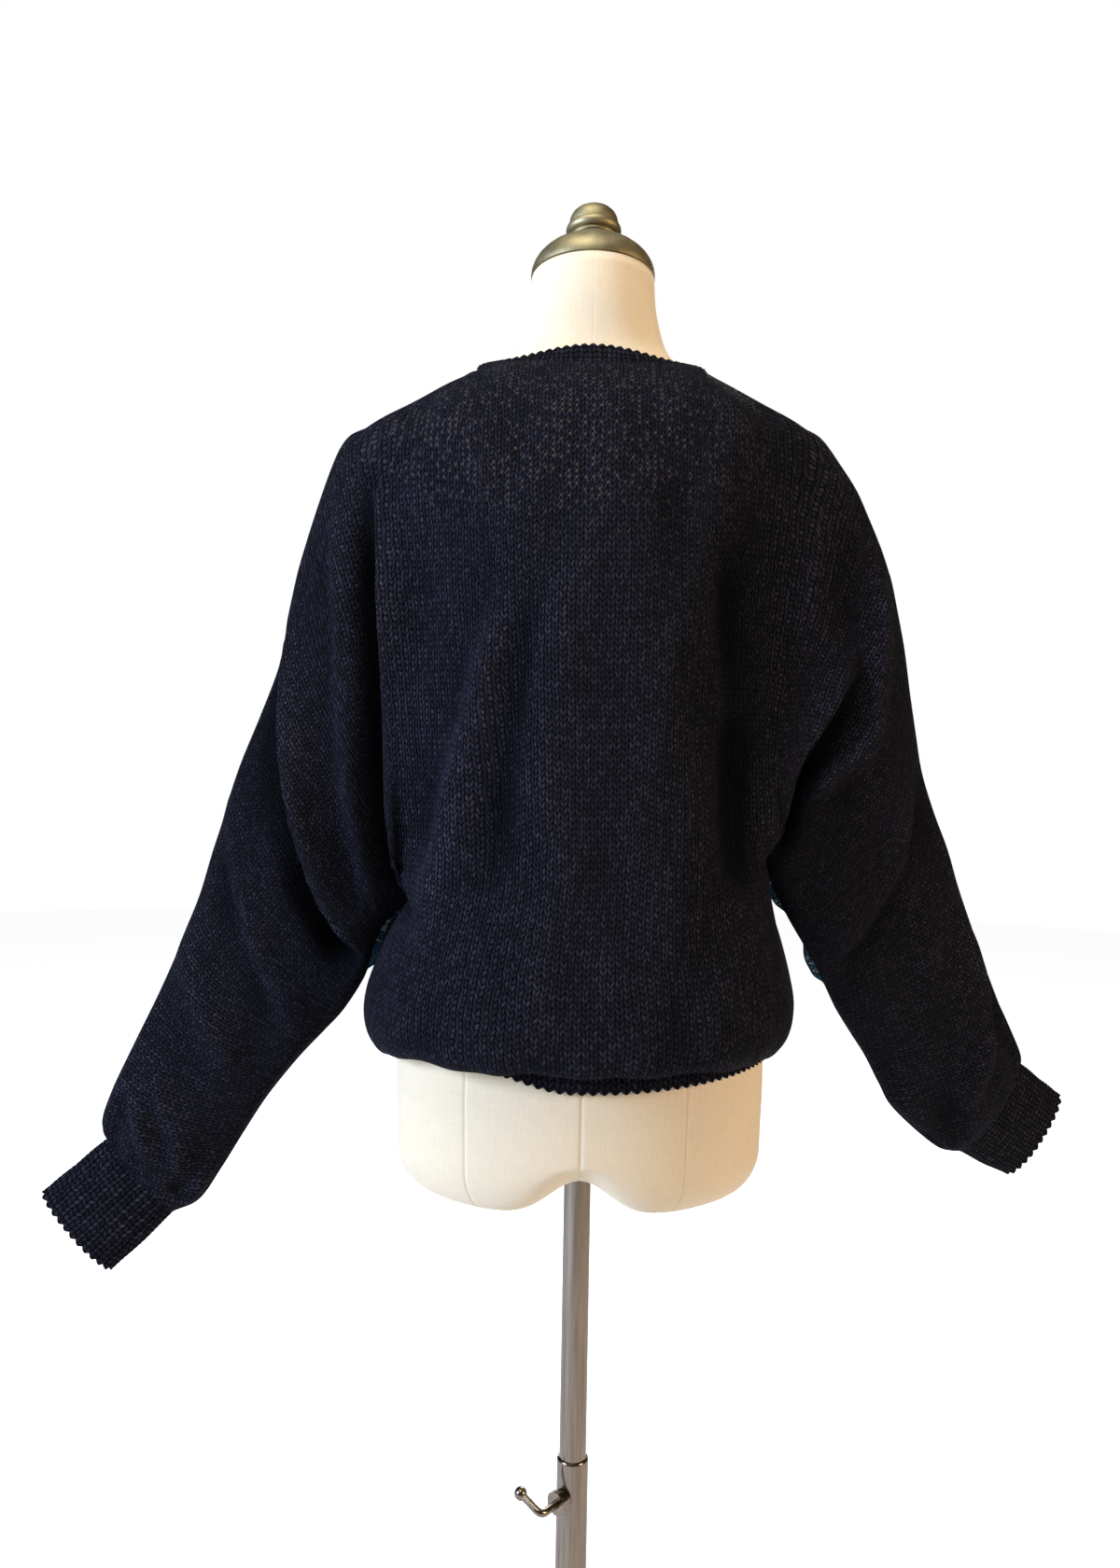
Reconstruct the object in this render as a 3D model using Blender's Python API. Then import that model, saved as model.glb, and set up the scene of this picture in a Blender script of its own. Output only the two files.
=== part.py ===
"""A knitted batwing pullover worn by a limbless dress form on a telescopic stand.

Frame: +Z up, origin under the middle of the base plate on the pole's axis. The form and the pullover
face -Y, so the back that the pullover shows lies at +Y, and the wearer's left is +X. Tables are in
millimetres, the rest in metres.
"""

import math

import bmesh
import bpy
import numpy as np

MM = 0.001

# Knitted cloth
WALL = 2.8 * MM             # thickness of the stockinette
SHARPEST = 2.0              # wall thicknesses from skin to skin in the sharpest bends
BEND_EASE = 0.15            # how much rounder the inner skin may be than the outer one
SEAM_GAP = 0.3 * MM         # between two pieces that are sewn together
SLEEVE_ROWS = 10            # cells from the overarm seam to the underarm seam
BODY_COLUMNS = 20           # cells from one side seam to the other
NECK_SHARE = 0.4            # share of the columns on each side of the middle that the neckline takes up
SHOULDER_ROUND = 0.13       # share of the body's height over which the shoulder rounds over
DRAPE_BLEND = 26 * MM       # softness where the sleeve's web meets the body
EVEN_REACH = 4              # columns on each side of the shoulder folds that are evened out
EVEN_PASSES = 4

# A line across the sleeve for each row, from the overarm seam (top) over its middle (mid) to the
# underarm seam (low): x outwards and z up, then how far the seams lie behind the stand's axis, how far
# the cloth swells behind and before them, how far the section turns outwards (degrees) and the columns
# of cells up to the next row.
SLEEVE = ("name", "top_x", "top_z", "mid_x", "mid_z", "low_x", "low_z",
          "top_y", "low_y", "back", "front", "turn", "cells")
LEFT_SLEEVE = (
    ("shoulder fold", 230, 1412, 192, 1200, 160, 977, 0, 0, 54, 60, 0, 1),
    ("under the fold", 246, 1378, 206, 1180, 170, 972, 0, 0, 40, 54, 0, 1),
    ("pocket", 271, 1298, 244, 1122, 187, 955, -2, 0, 38, 46, 0, 2),
    ("pocket edge", 288, 1208, 277, 1066, 198, 928, -4, -2, 37, 38, 0, 1),
    ("under the edge", 297, 1178, 288, 1040, 204, 906, -4, -2, 21, 36, 0, 1),
    ("elbow", 328, 1097, 306, 984, 223, 875, -6, -4, 23, 34, 0, 2),
    ("forearm", 362, 981, 330, 903, 262, 832, -8, -6, 26, 30, 0, 2),
    ("lower arm", 400, 886, 358, 830, 298, 786, -8, -8, 25, 27, 0, 2),
    ("puff", 443, 793, 396, 750, 337, 722, -8, -8, 22, 23, 0, 1),
    ("gather", 452, 763, 406, 723, 358, 691, -8, -8, 19, 19, 0, 1),
    ("cuff seam", 445, 748, 413, 713, 382, 679, -8, -8, 15, 15, 0, 0),
)
RIGHT_SLEEVE = (
    ("shoulder fold", 218, 1420, 190, 1224, 169, 1032, 0, 0, 54, 60, 0, 2),
    ("hollow", 257, 1371, 222, 1172, 174, 1015, -12, 0, 36, 50, 4, 2),
    ("shoulder edge", 285, 1303, 260, 1133, 183, 991, -22, -8, 38, 42, 8, 1),
    ("under the edge", 296, 1258, 278, 1104, 198, 964, -28, -12, 26, 38, 10, 2),
    ("elbow", 331, 1121, 292, 1014, 229, 917, -55, -35, 27, 34, 12, 2),
    ("forearm", 366, 1032, 321, 943, 253, 873, -75, -52, 26, 30, 14, 2),
    ("lower arm", 403, 943, 360, 869, 289, 822, -95, -78, 25, 28, 18, 2),
    ("cuff fold", 433, 878, 398, 820, 325, 763, -112, -98, 24, 25, 22, 1),
    ("puff", 457, 826, 428, 776, 375, 720, -124, -118, 20, 22, 25, 1),
    ("cuff seam", 464, 806, 434, 758, 404, 711, -130, -130, 15, 15, 26, 0),
)

# The cloth round the upper body: half widths and depths from the stand's axis at each height.
TORSO = ("z", "left", "right", "back", "front")
CLOTH_TORSO = (
    (985, 174, 178, 136, 146),
    (1100, 178, 174, 128, 147),
    (1180, 182, 174, 124, 148),
    (1250, 188, 180, 122, 141),
    (1320, 202, 196, 119, 116),
    (1380, 228, 222, 111, 94),
    (1420, 235, 228, 101, 78),
    (1450, 200, 196, 87, 64),
    (1485, 110, 106, 66, 50),
)
TORSO_FALL = 0.8            # how steeply the cloth falls away from the middle of the back or front
WEB_SHARE = 0.5             # how much of the shoulder fold's depth is left in the hollow beside the body

# The body below the underarms, blousing over the hem band: heights at the sides and in the middle of the row.
LOWER_BODY = ("z_left", "z_mid", "z_right", "left", "right", "back", "front")
LOWER_ROWS = (
    (977, 985, 1032, 160, 169, 136, 146),
    (955, 961, 992, 181.5, 173, 139, 147.5),
    (927, 931, 950, 191.5, 187, 143, 149.5),
    (898, 901, 913, 201.5, 197, 146.5, 151.5),
    (873, 877, 885, 204, 201, 148.5, 152),
    (853, 858, 861, 197.5, 194, 148, 149),
    (842, 848, 849, 187.5, 184.5, 138, 134),
    (846, 852, 852, 181, 180, 129, 118),
    (860, 863, 863, 178.3, 178, 124.6, 108.8),
    (873, 873, 873, 177.3, 177.3, 123.7, 107.2),
)

# Neckline of the panels, below the neckband
NECK_POINT = (108 * MM, 1477.5 * MM)       # where it meets the shoulder seams, from the middle and up
NECK_DEPTH = {"back": 67 * MM, "front": 68 * MM}
NECK_DROP = {"back": 12 * MM, "front": 47 * MM}
SHOULDER_BOW = 2 * MM

# Ribbed bands
RIB_RISE = 1.4 * MM
SCALLOP = 1.4 * MM          # by which each rib's crest reaches past the edge
BAND_WALL = 2.6 * MM        # of a ribbed band in its valleys
CUFF_RIBS = 24
CUFF_LENGTH = 81 * MM
CUFF_FLARE = {"left": 1.06, "right": 0.92}
NECKBAND_RIBS = 66
NECKBAND_RISE = {"back": 18 * MM, "side": 3 * MM, "front": 12 * MM}
NECKBAND_INWARDS = (0.08, 0.1)      # shares by which the band closes in sideways and from back to front
HEM_RIBS = 116
HEM_BOTTOM = 831 * MM
HEM_SIDE_RISE = 14 * MM      # of its lower edge at the sides
HEM_TOP = 873 * MM
HEM_HALF = {"width": 172.1 * MM, "back": 118.6 * MM, "front": 102.1 * MM}   # inside of the hem band

# The dress form, from the hips up: half width, depth behind and before, shift of the section backwards
# and its tilt in degrees
FORM = ("z", "half", "back", "front", "shift", "tilt")
FORM_ROWS = (
    (775, 170, 116, 99, 0, 0),
    (825, 171.4, 117.9, 101.4, 0, 0),
    (880, 169, 115, 101, 0, 0),
    (930, 156, 104, 99, 0, 0),
    (985, 136, 91, 95, 0, 0),
    (1040, 124, 84, 92, 0, 0),
    (1100, 129, 87, 101, 0, 0),
    (1160, 137, 95, 120, 0, 0),
    (1215, 143, 103, 133, 0, 0),
    (1265, 146, 109, 125, 0, 0),
    (1315, 152, 111, 104, 0, 0),
    (1362, 165, 105, 84, 0, 0),
    (1400, 173, 94, 68, 0, 0),
    (1425, 164, 84, 58, 0, 0),
    (1446, 138, 72, 48, 0, 0),
    (1466, 103, 60, 40, 0, 1),
    (1482, 83, 54, 40, -1, 2),
    (1498, 70.5, 53, 43, -2, 3),
    (1532, 61.5, 57, 54, -3, 4),
    (1566, 58.5, 58, 57, -4, 4),
)
# Its underside, from the hips to the middle: two thigh lobes with an arch between them for the pole
FORM_UNDER = (
    (745, 168, 113, 97, 0, 0),
    (724, 155, 104, 89, 0, 0),
    (715, 130, 88, 75, 0, 0),
    (712, 88, 60, 52, 0, 0),
    (713, 45, 36, 32, 0, 0),
)
FORM_SIDES = 38
ARCH_HEIGHT = 32 * MM
ARCH_WIDTH = 36 * MM
SOCKET_TOP = 845 * MM

# Neck cap and finial, turned profiles: radius and height above the neck's top
NECK_CAP = ((59.5, 0.5), (60.5, 4), (57.5, 10), (50, 19), (41, 28), (32, 36), (25, 40), (24.3, 43),
            (23.5, 44.5))
FINIAL = ((21.5, 44.8), (22, 46.5), (25, 49), (26.2, 53), (26.2, 58), (25.6, 64), (24, 70),
          (22.6, 71.5), (20.5, 73), (14, 77), (5, 79))
TURNED_SIDES = 26

# Stand
POLE_RADIUS = 12.7 * MM
POLE_BOTTOM = 262 * MM
TUBE_RADIUS = 14.8 * MM
TUBE_WALL = 1.8 * MM
TUBE_TOP = 457.5 * MM
BASE_RADIUS = 180 * MM
BASE_SIDES = 48
BASE_THICKNESS = 8 * MM
SOCKET_RADIUS = 22 * MM
SOCKET_HEIGHT = 26 * MM
FIT = 0.3 * MM              # running clearance round the poles

# Clamp: a hex boss on the tube and a bent screw lever with a ball on its end
CLAMP_HEIGHT = 423 * MM
CLAMP_ANGLE = math.radians(50.6)
NUT_ACROSS = 20 * MM
NUT_LENGTH = 9 * MM
LEVER_RADIUS = 3.5 * MM
LEVER_REACH = 45 * MM       # from the pole's axis to the bend
LEVER_ARM = (25 * MM, 10 * MM)      # from the bend to the ball: sideways and up
BALL_RADIUS = 6 * MM

MATERIALS = {
    "black knit": ((0.012, 0.013, 0.018), 0.95, 0.0),
    "black rib": ((0.010, 0.011, 0.015), 0.95, 0.0),
    "cream linen": ((0.78, 0.70, 0.60), 0.9, 0.0),
    "aged brass": ((0.32, 0.25, 0.12), 0.42, 1.0),
    "brushed steel": ((0.42, 0.39, 0.35), 0.32, 1.0),
}


# ---------------------------------------------------------------- small helpers

def unit(vector):
    vector = np.asarray(vector, float)
    return vector / np.maximum(np.linalg.norm(vector, axis=-1, keepdims=True), 1e-12)


def columns(names, rows):
    """Turns a table into named arrays; names that hold lengths are given in metres."""
    plain = ("turn", "cells", "tilt")
    return {name: np.array([row[k] for row in rows], float) * (1.0 if name in plain else MM)
            for k, name in enumerate(names) if name != "name"}


def ease_through(x, known_x, known_y):
    """Smooth curve through points that never overshoots them (monotone cubic)."""
    known_x, known_y = np.asarray(known_x, float), np.asarray(known_y, float)
    step = np.diff(known_x)
    slope = np.diff(known_y) / step
    tangent = np.zeros(len(known_x))
    tangent[0], tangent[-1] = slope[0], slope[-1]
    for k in range(1, len(slope)):
        if slope[k - 1] * slope[k] > 0:
            near, far = 2 * step[k] + step[k - 1], step[k] + 2 * step[k - 1]
            tangent[k] = (near + far) / (near / slope[k - 1] + far / slope[k])
    x = np.clip(x, known_x[0], known_x[-1])
    k = np.clip(np.searchsorted(known_x, x, side="right") - 1, 0, len(step) - 1)
    t = (x - known_x[k]) / step[k]
    return ((1 + 2 * t) * (1 - t) ** 2 * known_y[k] + t * (1 - t) ** 2 * step[k] * tangent[k]
            + t * t * (3 - 2 * t) * known_y[k + 1] + t * t * (t - 1) * step[k] * tangent[k + 1])


def smooth_step(x, low, high):
    t = np.clip((x - low) / (high - low), 0, 1)
    return t * t * (3 - 2 * t)


def add_object(name, points, faces, material):
    mesh = bpy.data.meshes.new(name)
    mesh.from_pydata([tuple(p) for p in points], [], faces)
    shape = bmesh.new()
    shape.from_mesh(mesh)
    bmesh.ops.recalc_face_normals(shape, faces=shape.faces)
    shape.to_mesh(mesh)
    shape.free()
    mesh.materials.append(material)
    piece = bpy.data.objects.new(name, mesh)
    bpy.context.scene.collection.objects.link(piece)
    return piece


def shade_round(piece, crease=40):
    piece.data.shade_smooth()
    piece.data.set_sharp_from_angle(angle=math.radians(crease))


def make_material(name):
    colour, roughness, metallic = MATERIALS[name]
    material = bpy.data.materials.new(name)
    material.use_nodes = True
    shader = material.node_tree.nodes["Principled BSDF"]
    shader.inputs["Base Color"].default_value = (*colour, 1)
    shader.inputs["Roughness"].default_value = roughness
    shader.inputs["Metallic"].default_value = metallic
    material.diffuse_color = (*colour, 1)
    return material


def loft(rings, close_start=True, close_end=True):
    """Closed skin over rings of equal length. Every ring runs anticlockwise seen from the loft's end."""
    count = len(rings[0])
    points = [p for ring in rings for p in ring]
    faces = []
    for k in range(len(rings) - 1):
        for i in range(count):
            j = (i + 1) % count
            faces.append((k * count + i, k * count + j, (k + 1) * count + j, (k + 1) * count + i))
    if close_start:
        points.append(np.mean(rings[0], axis=0))
        faces += [((i + 1) % count, i, len(points) - 1) for i in range(count)]
    if close_end:
        last = (len(rings) - 1) * count
        points.append(np.mean(rings[-1], axis=0))
        faces += [(last + i, last + (i + 1) % count, len(points) - 1) for i in range(count)]
    return points, faces


def ring_wall(outer, inner):
    """Closed tube wall from rows of rings: outer and inner skins joined by a rim at each end."""
    rows, count = len(outer), len(outer[0])
    points = [p for ring in outer for p in ring] + [p for ring in inner for p in ring]
    faces = []

    def at(skin, row, i):
        return skin * rows * count + row * count + i % count

    for i in range(count):
        for k in range(rows - 1):
            faces.append((at(0, k, i), at(0, k, i + 1), at(0, k + 1, i + 1), at(0, k + 1, i)))
            faces.append((at(1, k, i + 1), at(1, k, i), at(1, k + 1, i), at(1, k + 1, i + 1)))
        faces.append((at(0, 0, i + 1), at(0, 0, i), at(1, 0, i), at(1, 0, i + 1)))
        faces.append((at(0, rows - 1, i), at(0, rows - 1, i + 1), at(1, rows - 1, i + 1), at(1, rows - 1, i)))
    return points, faces


def turned(profile, start, tilt=0.0, sides=TURNED_SIDES):
    """Rings of a turned piece: profile of (radius, height) in millimetres, leaning forwards by tilt."""
    rings = []
    for radius, height in profile:
        angle = np.linspace(0, 2 * math.pi, sides, endpoint=False)
        x, y = radius * MM * np.cos(angle), radius * MM * np.sin(angle)
        z = np.full(sides, height * MM)
        rings.append(np.stack([x, y * math.cos(tilt) - z * math.sin(tilt),
                               z * math.cos(tilt) + y * math.sin(tilt)], axis=1) + start)
    return rings


# ---------------------------------------------------------------- pullover: its surface

def row_shares():
    """Shares of a line from seam to seam, closer together where the cloth rounds over at a seam."""
    return (1 - np.cos(np.linspace(0, math.pi, SLEEVE_ROWS + 1))) / 2


def sleeve_sections(rows, side):
    """Points of a sleeve's back and front cloth, a column for each line across it, from the shoulder out."""
    table = columns(SLEEVE, rows)
    stops = [0.0]
    for k, cells in enumerate(table["cells"][:-1]):
        stops += [k + (n + 1) / cells for n in range(int(cells))]
    at = {name: ease_through(np.array(stops), np.arange(len(rows)), table[name]) for name in SLEEVE[1:-1]}
    share = row_shares()[None, :]
    swell = np.sin(np.arccos(1 - 2 * share))
    along = {axis: at["top_" + axis][:, None] * (1 - share) * (1 - 2 * share)
             + at["mid_" + axis][:, None] * 4 * share * (1 - share)
             + at["low_" + axis][:, None] * share * (2 * share - 1) for axis in "xz"}
    depth = at["top_y"][:, None] * (1 - share) + at["low_y"][:, None] * share
    line = np.stack([side * along["x"], depth, along["z"]], axis=2)

    across = unit(np.stack([side * (at["low_x"] - at["top_x"]), at["low_z"] - at["top_z"]], axis=1))
    outwards = side * np.stack([-across[:, 1], across[:, 0]], axis=1)
    turn = np.radians(at["turn"])
    facing = np.stack([np.sin(turn) * outwards[:, 0], np.cos(turn), np.sin(turn) * outwards[:, 1]], axis=1)
    back = line + (at["back"][:, None] * swell)[:, :, None] * facing[:, None, :]
    front = line - (at["front"][:, None] * swell)[:, :, None] * facing[:, None, :]
    return back, front, facing


def top_edge(c, face):
    """The shoulder line and neckline at place c across the body (-1 right, 1 left)."""
    side = "left" if c > 0 else "right"
    rows = LEFT_SLEEVE if side == "left" else RIGHT_SLEEVE
    shoulder = np.array([rows[0][1], rows[0][2]]) * MM
    neck = np.array(NECK_POINT)
    if abs(c) >= NECK_SHARE:
        share = (abs(c) - NECK_SHARE) / (1 - NECK_SHARE)
        x, z = neck + (shoulder - neck) * share
        z += SHOULDER_BOW * math.sin(math.pi * share)
        return math.copysign(x, c), 0.0, z
    turn = abs(c) / NECK_SHARE * math.pi / 2
    sign = 1 if face == "back" else -1
    return (math.copysign(neck[0] * math.sin(turn), c), sign * NECK_DEPTH[face] * math.cos(turn),
            neck[1] - NECK_DROP[face] * math.cos(turn) ** 2)


def torso_depth(x, z, face):
    """How far the cloth round the upper body lies from the stand's axis."""
    table = columns(TORSO, CLOTH_TORSO)
    side = np.where(x > 0, ease_through(z, table["z"], table["left"]),
                    ease_through(z, table["z"], table["right"]))
    depth = ease_through(z, table["z"], table[face])
    return depth * np.clip(1 - (x / side) ** 2, 0, 1) ** TORSO_FALL


def lower_body():
    """Rows of the body from the underarms down and under to the hem band, back and front."""
    table = columns(LOWER_BODY, LOWER_ROWS)
    c = np.linspace(-1, 1, BODY_COLUMNS + 1)
    middle, half = (table["left"] - table["right"]) / 2, (table["left"] + table["right"]) / 2
    x = middle[None, :] + half[None, :] * np.sin(c * math.pi / 2)[:, None]
    side_z = np.where(c[:, None] > 0, table["z_left"][None, :], table["z_right"][None, :])
    z = table["z_mid"] + (side_z - table["z_mid"]) * np.abs(c[:, None]) ** 3
    round_in = np.cos(c * math.pi / 2)[:, None]
    round_in[[0, -1]] = 0
    back = np.stack([x, table["back"][None, :] * round_in, z], axis=2)
    front = np.stack([x, -table["front"][None, :] * round_in, z], axis=2)
    return {"back": back, "front": front}


def upper_body(face, lower):
    """Columns of the body from the shoulder line and neckline down to the level of the underarms."""
    share = row_shares()
    swell = np.sin(np.arccos(1 - 2 * share))
    sign = 1 if face == "back" else -1
    places = np.linspace(-1, 1, BODY_COLUMNS + 1)[1:-1]
    result = []
    for c, low in zip(places, lower[1:-1, 0]):
        x0, y0, z0 = top_edge(c, face)
        rows = LEFT_SLEEVE if c > 0 else RIGHT_SLEEVE
        top_x, mid_x, low_x = (rows[0][k] * MM for k in (1, 3, 5))
        side_x = (top_x * (1 - share) * (1 - 2 * share) + mid_x * 4 * share * (1 - share)
                  + low_x * share * (2 * share - 1))
        x = side_x * (x0 / top_x + (low[0] / low_x - x0 / top_x) * share ** 2.5)
        z = z0 + (low[2] - z0) * share
        fold = rows[0][SLEEVE.index(face)] * MM
        web = fold * swell * (WEB_SHARE + (1 - WEB_SHARE) * smooth_step(abs(c), 0.78, 1.0))
        body = torso_depth(x, z, face)
        cloth = (body + web + np.sqrt((body - web) ** 2 + DRAPE_BLEND ** 2)) / 2
        rise = np.sqrt(1 - (1 - np.clip(share / SHOULDER_ROUND, 0, 1)) ** 2)
        settle = smooth_step(share, 0.72, 1.0)
        depth = abs(y0) + (cloth - abs(y0)) * rise
        depth += (abs(low[1]) - depth) * settle
        result.append(np.stack([x, sign * depth, z], axis=1))
    return np.array(result)


def even_out(grid, folds):
    """Softens the steps between columns beside the shoulder folds, sideways less so near the seams."""
    column = np.arange(len(grid))
    near = np.max([1 - smooth_step(np.abs(column - fold), 0, EVEN_REACH + 1) for fold in folds], axis=0)
    share = row_shares()
    amount = np.ones((len(grid), len(share), 3)) * near[:, None, None]
    amount[:, :, [0, 2]] *= (4 * share * (1 - share))[None, :, None]
    for _ in range(EVEN_PASSES):
        mean = (grid[:-2, 1:-1] + grid[2:, 1:-1]) / 2
        grid[1:-1, 1:-1] += (mean - grid[1:-1, 1:-1]) * amount[1:-1, 1:-1]


def pullover_surface():
    """Outer points of back and front in columns from the right cuff to the left, and the seams' facings."""
    lower = lower_body()
    left_back, left_front, left_facing = sleeve_sections(LEFT_SLEEVE, 1)
    right_back, right_front, right_facing = sleeve_sections(RIGHT_SLEEVE, -1)
    upper = {"back": np.concatenate([right_back[::-1], upper_body("back", lower["back"]), left_back]),
             "front": np.concatenate([right_front[::-1], upper_body("front", lower["front"]), left_front])}
    body_facing = np.tile([0.0, 1.0, 0.0], (BODY_COLUMNS - 1, 1))
    facing = np.concatenate([right_facing[::-1], body_facing, left_facing])
    first = len(right_back) - 1
    for face in upper:
        even_out(upper[face], (first, first + BODY_COLUMNS))
    return upper, lower, facing, first


def inner_skin(points, quads):
    """Points one wall inside all the faces that meet there, as far as the sharpest bends allow it."""
    planes, pull = np.tile(np.eye(3) * BEND_EASE, (len(points), 1, 1)), np.zeros_like(points)
    for quad in quads:
        a, b, c, d = points[list(quad)]
        facing = unit(np.cross(c - a, d - b))
        for k in quad:
            planes[k] += np.outer(facing, facing)
            pull[k] += facing
    step = np.linalg.solve(planes, pull[:, :, None])[:, :, 0] * WALL
    longest = SHARPEST * WALL
    return points - step * np.minimum(1, longest / np.linalg.norm(step, axis=1, keepdims=True))


def split(quad, points):
    """Two triangles along the shorter diagonal, the same on both skins, so that the wall stays even."""
    a, b, c, d = quad
    if np.linalg.norm(points[a] - points[c]) <= np.linalg.norm(points[b] - points[d]):
        return (a, b, c), (a, c, d)
    return (a, b, d), (b, c, d)


def neck_columns(first):
    places = np.linspace(-1, 1, BODY_COLUMNS + 1)
    return [first + k for k, c in enumerate(places) if abs(c) < NECK_SHARE - 1e-6]


def build_pullover(material):
    """The back and front panels: walls with the seam edges parted by the seam gap. Returns the neck ring."""
    upper, lower, facing, first = pullover_surface()
    last = first + BODY_COLUMNS
    count, rows = len(facing), SLEEVE_ROWS + 1
    neck = set(neck_columns(first))
    points, seam = [], {}
    index = {"back": {}, "front": {}}

    def register(key, back, front, shared, direction):
        for face, point in (("back", back), ("front", front)):
            if face == "front" and shared:
                index[face][key] = index["back"][key]
            else:
                index[face][key] = len(points)
                points.append(point)
        if shared:
            seam[index["back"][key]] = direction

    for i in range(count):
        for j in range(rows):
            at_top = j == 0 and i not in neck
            at_low = j == rows - 1 and not first < i < last
            register((i, j), upper["back"][i, j], upper["front"][i, j], at_top or at_low, facing[i])
    for i in range(first, last + 1):
        for k in range(1, len(LOWER_ROWS)):
            on_side = i in (first, last)
            register((i, rows - 1 + k), lower["back"][i - first, k], lower["front"][i - first, k],
                     on_side, facing[i])

    quads = [(i, j) for i in range(count - 1) for j in range(rows - 1)]
    quads += [(i, j) for i in range(first, last) for j in range(rows - 1, rows + len(LOWER_ROWS) - 2)]
    panel_faces = {}
    for face in ("back", "front"):
        at = index[face]
        corners = [(at[i, j], at[i + 1, j], at[i + 1, j + 1], at[i, j + 1]) for i, j in quads]
        panel_faces[face] = [q[::-1] for q in corners] if face == "front" else corners

    points = np.array(points)
    inner = inner_skin(points, panel_faces["back"] + panel_faces["front"])

    for face, sign in (("back", 1), ("front", -1)):
        quads = panel_faces[face]
        used = sorted({k for quad in quads for k in quad})
        place = {k: n for n, k in enumerate(used)}
        part = np.array([seam.get(k, (0, 0, 0)) for k in used]) * sign * SEAM_GAP / 2
        skin = np.concatenate([points[used] + part, inner[used] + part])
        shift = len(used)
        halves = [half for quad in quads for half in split(quad, points)]
        faces = [tuple(place[k] for k in half) for half in halves]
        faces += [tuple(place[k] + shift for k in half[::-1]) for half in halves]
        edges = {(half[n], half[(n + 1) % 3]) for half in halves for n in range(3)}
        faces += [(place[b], place[a], place[a] + shift, place[b] + shift)
                  for a, b in edges if (b, a) not in edges]
        shade_round(add_object(f"sweater_{face}", skin, sorted(faces), material), 50)

    ends = range(min(neck) - 1, max(neck) + 2)
    ring = [index["back"][i, 0] for i in ends] + [index["front"][i, 0] for i in ends[-2:0:-1]]
    return points[ring], inner[ring]


# ---------------------------------------------------------------- pullover: ribbed bands

def even_ring(ring, count):
    """The places of count evenly spaced points along a closed ring, as (point number, share to the next)."""
    size = np.linalg.norm(np.roll(ring, -1, axis=0) - ring, axis=1)
    reach = np.concatenate([[0], np.cumsum(size)])
    distance = np.linspace(0, reach[-1], count, endpoint=False)
    k = np.clip(np.searchsorted(reach, distance, side="right") - 1, 0, len(ring) - 1)
    return k, (distance - reach[k]) / size[k]


def read_ring(ring, places):
    k, share = places
    before, after = np.roll(ring, 1, axis=0), np.roll(ring, -1, axis=0)
    after_next = np.roll(ring, -2, axis=0)
    t = share[:, None]
    return 0.5 * (2 * ring[k] + (after[k] - before[k]) * t
                  + (2 * before[k] - 5 * ring[k] + 4 * after[k] - after_next[k]) * t ** 2
                  + (3 * ring[k] - before[k] - 3 * after[k] + after_next[k]) * t ** 3)


def ribbed(rows, outward, ribs):
    """A band with ribs raised in its outer points over a plain inside."""
    crest = (np.arange(ribs * 2) % 2 == 0).astype(float)[:, None]
    outer = [row + outward * RIB_RISE * crest for row in rows]
    inner = [row - outward * BAND_WALL for row in rows]
    return ring_wall(outer, inner)


def build_cuff(name, rows, side, material):
    back, front, facing = sleeve_sections(rows, side)
    ring = np.concatenate([back[-1], front[-1][-2:0:-1]])
    centre = ring.mean(axis=0)
    across = unit(back[-1][-1] - back[-1][0])
    axis = unit(np.cross(across, facing[-1])) * side
    flat = (ring - centre) - ((ring - centre) @ axis)[:, None] * axis
    places = even_ring(flat, CUFF_RIBS * 2)
    smooth = read_ring(flat, places)
    tangent = np.roll(smooth, -1, axis=0) - np.roll(smooth, 1, axis=0)
    outward = unit(np.cross(tangent, axis))
    if (outward * smooth).sum() < 0:
        outward = -outward
    crest = (np.arange(CUFF_RIBS * 2) % 2 == 0).astype(float)[:, None]
    base = smooth - outward * RIB_RISE
    flare = CUFF_FLARE["left" if side > 0 else "right"]
    lengths = ((SEAM_GAP, 1.0, 0), (CUFF_LENGTH * 0.45, (1 + flare) / 2, 0), (CUFF_LENGTH, flare, SCALLOP))
    outer = [centre + base * scale + axis * (along + scallop * crest) for along, scale, scallop in lengths]
    points, faces = ribbed(outer, outward, CUFF_RIBS)
    return add_object(name, points, faces, material)


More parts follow.
